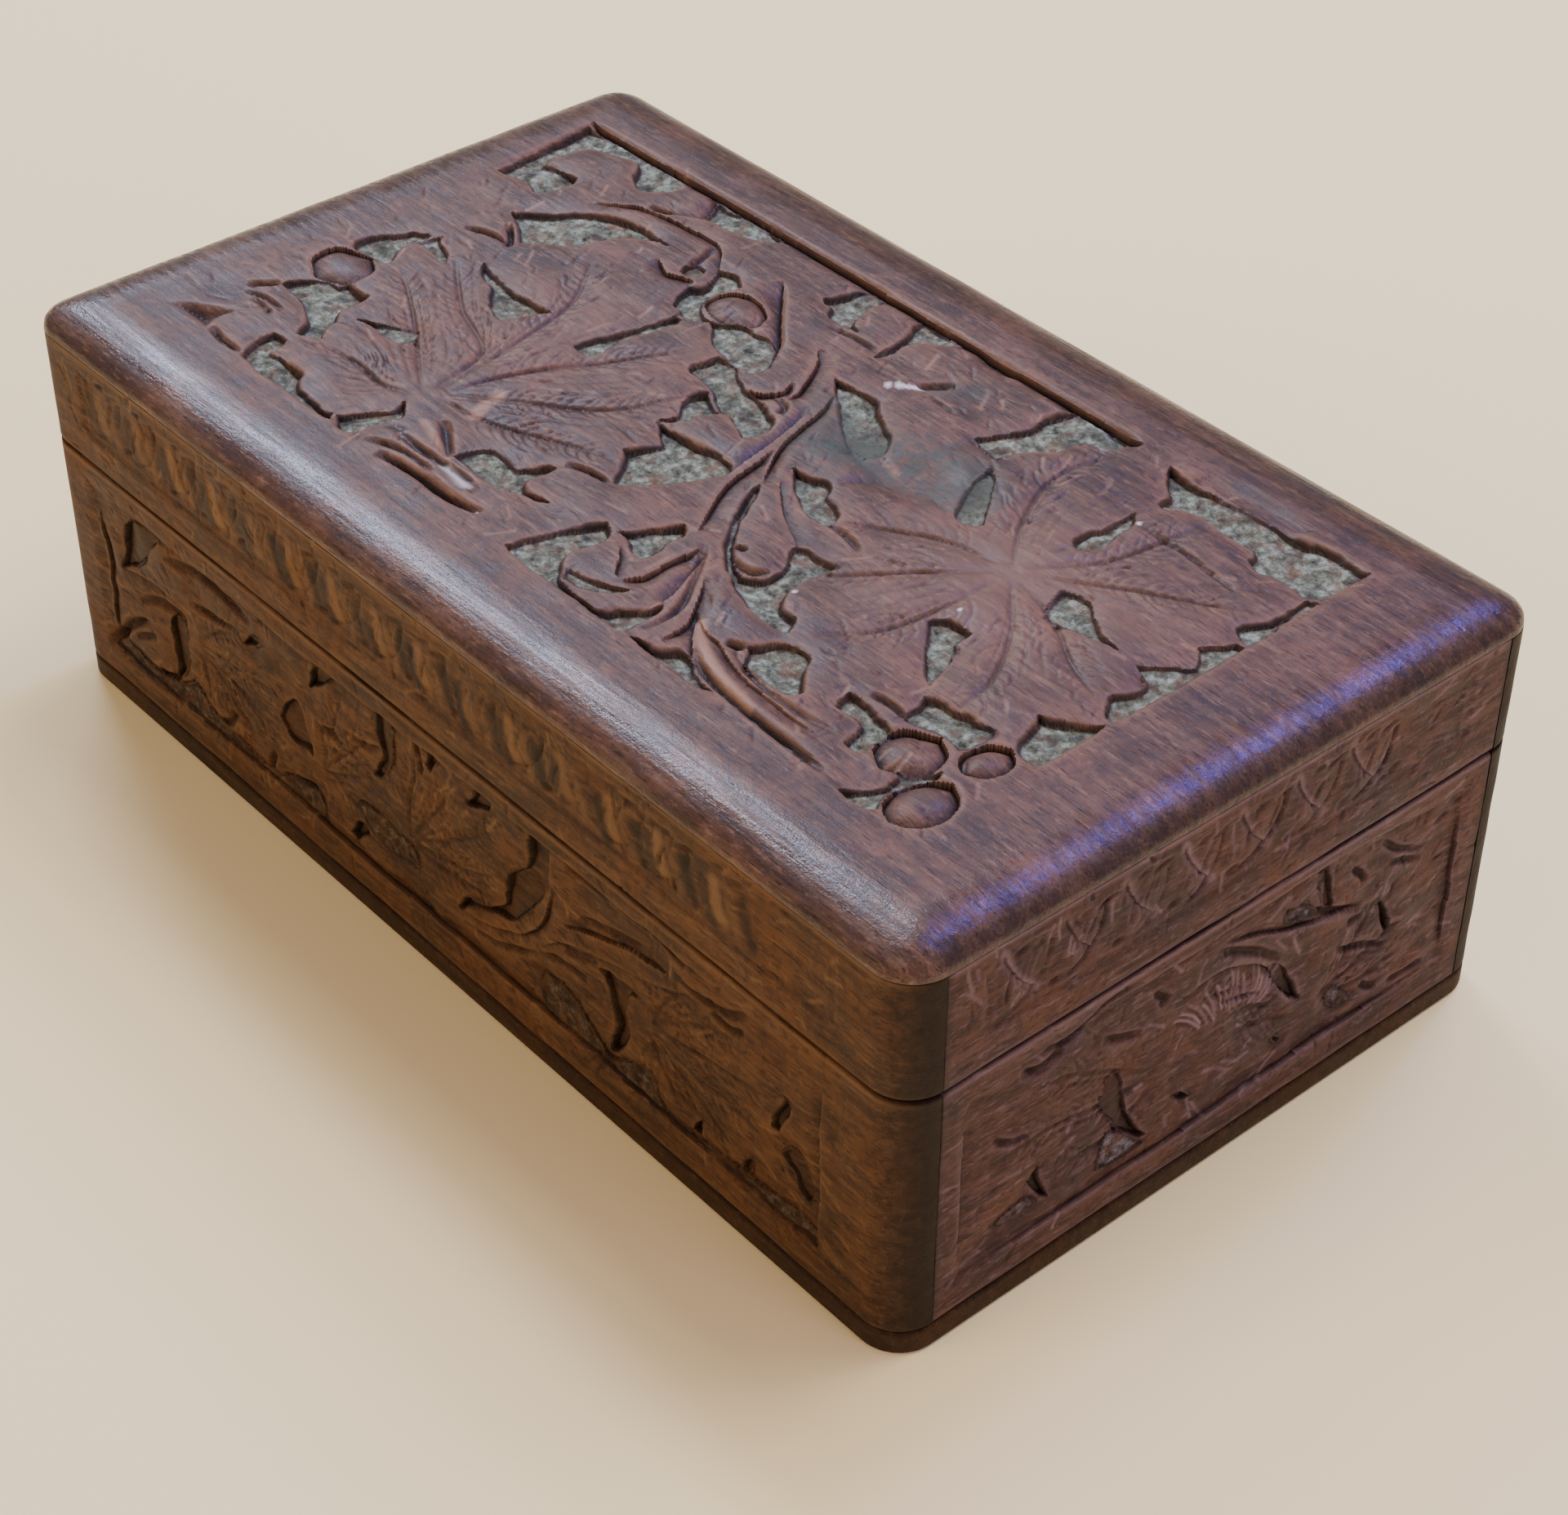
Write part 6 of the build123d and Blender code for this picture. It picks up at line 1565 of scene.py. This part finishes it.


def finishRelief(relief, ends, top, bottom, seed):
    # Weathers a side board, rounds its edges and darkens its foot, and its joints on an end board or the
    # box's rounded corners on a long board
    relief.weather(**sideWear, pitSeed=seed, waveSeed=seed + 1)
    easeEdges(relief, top, bottom, ends, seed + 2)
    dirtAndShade, wornAndHighlit = relief.paint["dirtAndShade"], relief.paint["wornAndHighlit"]
    low, high = relief.v - relief.bottom, relief.top - relief.v
    np.maximum(dirtAndShade, np.clip(1 - low / bottom, 0, 1), out=dirtAndShade)
    rub = np.clip(1 - np.abs(high - top) / rimRub["reach"], 0, 1) * rimRub["most"]
    np.maximum(wornAndHighlit, rub, out=wornAndHighlit)
    if ends:
        side = np.minimum(relief.u - relief.left, relief.right - relief.u)
        darkening = np.clip(1 - side / jointDarkening["reach"], 0, 1) * jointDarkening["most"]
        np.maximum(dirtAndShade, darkening, out=dirtAndShade)
    else:
        turning = np.abs(relief.u - length / 2) - length / 2 + cornerRadius
        darkening = np.clip(turning / cornerDarkening["reach"], 0, 1) * cornerDarkening["most"]
        np.maximum(dirtAndShade, darkening, out=dirtAndShade)


pin = [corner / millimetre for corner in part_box("left_hinge_pin")]
leaf = [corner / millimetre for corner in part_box("left_hinge_body_leaf")]
# Room in the beds beyond a leaf's ends and inner edge and round the barrel, and behind the bevels
play = {"ends": 0.3, "inner": 0.05, "barrel": 1.1, "bevel": 0.05}
hinge = {
    "axis": (pin[0].y + pin[1].y) / 2,
    "middle": (leaf[0].x + leaf[1].x) / 2,
    "length": leaf[1].x - leaf[0].x + play["ends"],
    "inner": leaf[0].y,
    "leafDepth": 0.9,
    "barrelRoom": (pin[1].y - pin[0].y) / 2 + play["barrel"],
    "bevelSlope": math.tan(math.radians(50.5)),
}


def bevelBack(relief, up):
    # The back slopes away from the hinge line, so that the open lid has room
    turn = np.abs(relief.u - np.clip(relief.u, cornerRadius, length - cornerRadius)) / cornerRadius
    beyond = width / 2 - hinge["axis"]
    low = np.clip((relief.v - seam) * up, 0, None) / hinge["bevelSlope"]
    spare = np.minimum(low - beyond - play["bevel"], 0)
    limit = (cornerRadius + spare) / np.maximum(np.cos(turn), 0.01) - cornerRadius
    relief.cut = np.minimum(relief.cut, limit)


def cutHingeBeds(board):
    # Sinks both hinges into the board: a shallow bed for the leaf and a deep one for the barrel
    edit = bmesh.new()
    axis, room = hinge["axis"], hinge["barrelRoom"]
    for x in (hinge["middle"], -hinge["middle"]):
        for near, far, depth in (
            (hinge["inner"] - play["inner"], axis, hinge["leafDepth"]),
            (axis - room, width / 2 + overhang, room),
        ):
            size = Vector((hinge["length"], far - near, 2 * depth)) * millimetre
            middle = Vector((x, (near + far) / 2, seam)) * millimetre
            bmesh.ops.create_cube(edit, size=1, matrix=Matrix.LocRotScale(middle, None, size))
    mesh = bpy.data.meshes.new("hingeBedCutter")
    edit.to_mesh(mesh)
    edit.free()
    mesh.materials.append(planedWalnut)
    cutter = bpy.data.objects.new("hingeBedCutter", mesh)
    bpy.context.collection.objects.link(cutter)
    cut = board.modifiers.new("hingeBeds", "BOOLEAN")
    cut.operation, cut.solver, cut.object = "DIFFERENCE", "MANIFOLD", cutter
    bpy.context.view_layer.update()
    held = board.evaluated_get(bpy.context.evaluated_depsgraph_get())
    result = bpy.data.meshes.new_from_object(held)
    board.modifiers.clear()
    edit = bmesh.new()
    edit.from_mesh(result)
    bmesh.ops.remove_doubles(edit, verts=edit.verts, dist=2e-6)
    bmesh.ops.holes_fill(edit, edges=[edge for edge in edit.edges if edge.is_boundary])
    edit.to_mesh(result)
    edit.free()
    board.data = result
    result.set_sharp_from_angle(angle=sharpAngle)
    bpy.data.objects.remove(cutter)
    print("hinge beds cut in", board.name, len(result.polygons), "faces")


def makeWalls():
    random = np.random.default_rng(5)
    longWall = longRelief(baseTop, seam)
    field = (13, baseTop + 6, length - 13, seam - 4)
    carveWall(longWall, longWallPockets, longWallGrooves, longWallCreases, longWallVeins, field, 6)
    longWall.roll(field, drop=0.9, radius=1.5)
    finishRelief(longWall, ends=0, top=0.8, bottom=1.1, seed=40)
    longRail = longRelief(seam + seamGap, lipUnderside)
    carveRail(longRail, frieze["longCount"], length, longFrieze, random)
    finishRelief(longRail, ends=0, top=0.5, bottom=0.8, seed=50)
    endWall = endRelief(baseTop, seam)
    field = (12, baseTop + 6, width - 12, seam - 3)
    carveWall(endWall, endWallPockets, endWallGrooves, endWallCreases, endWallVeins, field, 7)
    (startU, startV), (shiftU, shiftV) = endWallFan["from"], endWallFan["shift"]
    for k in range(endWallFan["strokes"]):
        turn = math.radians(endWallFan["angle"] + endWallFan["turn"] * k + random.uniform(-2, 2))
        u, v = startU + shiftU * k + random.uniform(-0.4, 0.4), startV + shiftV * k
        near, far = random.uniform(3.5, 6), random.uniform(9, 12.5)
        stroke = [
            (u + run * math.cos(turn + bend), v + run * math.sin(turn + bend))
            for run, bend in ((near, 0), ((near + far) / 2, 0.05), (far, 0.16))
        ]
        endWall.groove(stroke, random.uniform(0.25, 0.45), 0.8, 0.3)
        endWall.brush("wornAndHighlit", [(u + 0.6, v + 0.3) for u, v in stroke], 0.5, random.uniform(0.3, 0.9))
    endWall.roll(field, drop=0.9, radius=1.5)
    finishRelief(endWall, ends=0.4, top=0.8, bottom=1.1, seed=60)
    endRail = endRelief(seam + seamGap, lipUnderside)
    carveRail(endRail, frieze["endCount"], width, endFrieze, random)
    finishRelief(endRail, ends=0.4, top=0.5, bottom=0.8, seed=70)
    sides = [("front", -1, True), ("back", 1, True), ("left", -1, False), ("right", 1, False)]
    for name, side, long in sides:
        wall, rail = (longWall, longRail) if long else (endWall, endRail)
        place, walnut = (longFace(side), longWalnut) if long else (endFace(side), endWalnut)
        for kind, relief, body, node, low, high, up in (
            ("Wall", wall, "box", name + "_wall", baseTop, seam, -1),
            ("Rail", rail, "lid", "lid_" + name + "_rail", seam, lipUnderside, 1),
        ):
            if name == "back":
                relief = copy.deepcopy(relief)
                bevelBack(relief, up)
            corners = None if long else endCorners(side, low, high)
            board = makeBoard("carved" + name.title() + kind, relief, place, corners, walnut, body, node)
            if name == "back":
                cutHingeBeds(board)


makeWalls()


# The base board: thin, with rubbed edges

baseEdge = {"softness": 0.9, "steps": 6, "cornerSteps": 12}


def makeBaseBoard():
    # Outlines from the underside's middle up to the top's middle, each a rounded rectangle
    softness, steps, cornerSteps = baseEdge["softness"], baseEdge["steps"], baseEdge["cornerSteps"]

    def ring(inset, z):
        spots = []
        radius = cornerRadius - inset
        for cornerX, cornerY, start in ((1, -1, -90), (1, 1, 0), (-1, 1, 90), (-1, -1, 180)):
            middleX = cornerX * (length / 2 - cornerRadius)
            middleY = cornerY * (width / 2 - cornerRadius)
            for k in range(cornerSteps + 1):
                turn = math.radians(start + 90 * k / cornerSteps)
                spots.append((middleX + radius * math.cos(turn), middleY + radius * math.sin(turn), z))
        return spots

    turns = [math.pi / 2 * k / steps for k in range(steps + 1)]
    rings = [ring(softness * (1 - math.sin(t)), softness * (1 - math.cos(t))) for t in turns]
    rings += [ring(softness * (1 - math.cos(t)), baseTop - softness * (1 - math.sin(t))) for t in turns]
    spots = [spot for line in rings for spot in line]
    count = len(rings[0])
    faces = [tuple(range(count))[::-1], tuple(range(len(spots) - count, len(spots)))]
    for r in range(len(rings) - 1):
        for k in range(count):
            n = (k + 1) % count
            low, high = r * count, (r + 1) * count
            faces.append((low + k, low + n, high + n, high + k))
    addBoard("baseBoard", spots, faces, {}, len(faces), baseWalnut, "box", "base_board")


makeBaseBoard()


# Floor, light and camera

stage = {
    "floorHalf": 3, "floorColour": "f9e7b6", "floorRoughness": 0.9,
    "roomColour": "f2ece4", "roomStrength": 0.3, "aim": (0, 0, 0.06),
}
reach = stage["floorHalf"]
floor = bpy.data.meshes.new("tableTop")
corners = [(-reach, -reach, 0), (reach, -reach, 0), (reach, reach, 0), (-reach, reach, 0)]
floor.from_pydata(corners, [], [(0, 1, 2, 3)])
table = bpy.data.objects.new("tableTop", floor)
bpy.context.collection.objects.link(table)
# Uncoated paper: quite matte, so it takes soft shadows and mirrors nothing
paperMatte, tree = newMaterial("paperWarmMatte")
inputs = {"Base Color": hexColour(stage["floorColour"]), "Roughness": stage["floorRoughness"]}
shader = addNode(tree, "BsdfPrincipled", inputs)
addNode(tree, "OutputMaterial", {"Surface": shader.outputs[0]})
floor.materials.append(paperMatte)

world = bpy.data.worlds.new("paleRoom")
world.use_nodes = True
background = world.node_tree.nodes["Background"]
background.inputs["Color"].default_value = hexColour(stage["roomColour"])
background.inputs["Strength"].default_value = stage["roomStrength"]
bpy.context.scene.world = world

# Soft boxes that face the box from that direction and distance. The long side lies along the X
# axis or the line given, and only the ones with gloss are mirrored in the wax.
softBoxes = {
    "softSky": {
        "towards": (0.05, 0.55, 1), "distance": 1.9, "size": (1.5, 1.3), "power": 46,
        "colour": "fbf6f2", "gloss": False,
    },
    "coolWindow": {
        "towards": (-0.666, 0.251, 0.702), "distance": 1.8, "size": (0.95, 0.2), "power": 20.5,
        "colour": "d6e2ff", "gloss": True, "along": (0.867, 0.208, 0.453),
    },
    "violetStrip": {
        "towards": (-0.08, 0.6, 0.8), "distance": 1.8, "size": (0.5, 0.13), "power": 10.5,
        "colour": "6068ff", "gloss": True, "along": (0.085, 0.885, -0.458),
    },
    "warmFront": {
        "towards": (-0.25, -1, 0.5), "distance": 1.9, "size": (1.4, 0.9), "power": 23,
        "colour": "ffd9ac", "gloss": False,
    },
    "pinkSide": {
        "towards": (1, 0.1, 0.4), "distance": 1.9, "size": (1.2, 0.9), "power": 18,
        "colour": "dec4ee", "gloss": False,
    },
}
for name, softBox in softBoxes.items():
    light = bpy.data.lights.new(name, "AREA")
    light.shape = "RECTANGLE"
    light.size, light.size_y = softBox["size"]
    light.energy = softBox["power"]
    light.color = hexColour(softBox["colour"])[:3]
    lamp = bpy.data.objects.new(name, light)
    away = Vector(softBox["towards"]).normalized()
    along = Vector(softBox.get("along", (1, 0, 0)))
    side = (along - away * away.dot(along)).normalized()
    facing = Matrix((side, away.cross(side), away)).transposed().to_4x4()
    middle = Vector(stage["aim"]) + away * softBox["distance"]
    lamp.matrix_world = Matrix.Translation(middle) @ facing
    lamp.visible_glossy = softBox["gloss"]
    bpy.context.collection.objects.link(lamp)

# Angles in degrees, lens in millimetres, place in metres
portraitView = {
    "azimuth": 49.1818, "elevation": 38.6853, "roll": 0.2936, "lens": 74.24, "sensor": 36,
    "place": (0.3745521, -0.3122165, 0.4034478),
}
azimuth, elevation, roll = [math.radians(portraitView[key]) for key in ("azimuth", "elevation", "roll")]
back = Vector((
    math.sin(azimuth) * math.cos(elevation),
    -math.cos(azimuth) * math.cos(elevation),
    math.sin(elevation),
))
right = Vector((math.cos(azimuth), math.sin(azimuth), 0))
up = back.cross(right)
tiltedRight = math.cos(roll) * right + math.sin(roll) * up
tiltedUp = math.cos(roll) * up - math.sin(roll) * right
lens = bpy.data.cameras.new("portraitLens")
lens.lens = portraitView["lens"]
lens.sensor_width = portraitView["sensor"]
camera = bpy.data.objects.new("portraitLens", lens)
turned = Matrix((tiltedRight, tiltedUp, back)).transposed().to_4x4()
camera.matrix_world = Matrix.Translation(portraitView["place"]) @ turned
bpy.context.collection.objects.link(camera)
bpy.context.scene.camera = camera
print("stage, lights and camera placed")
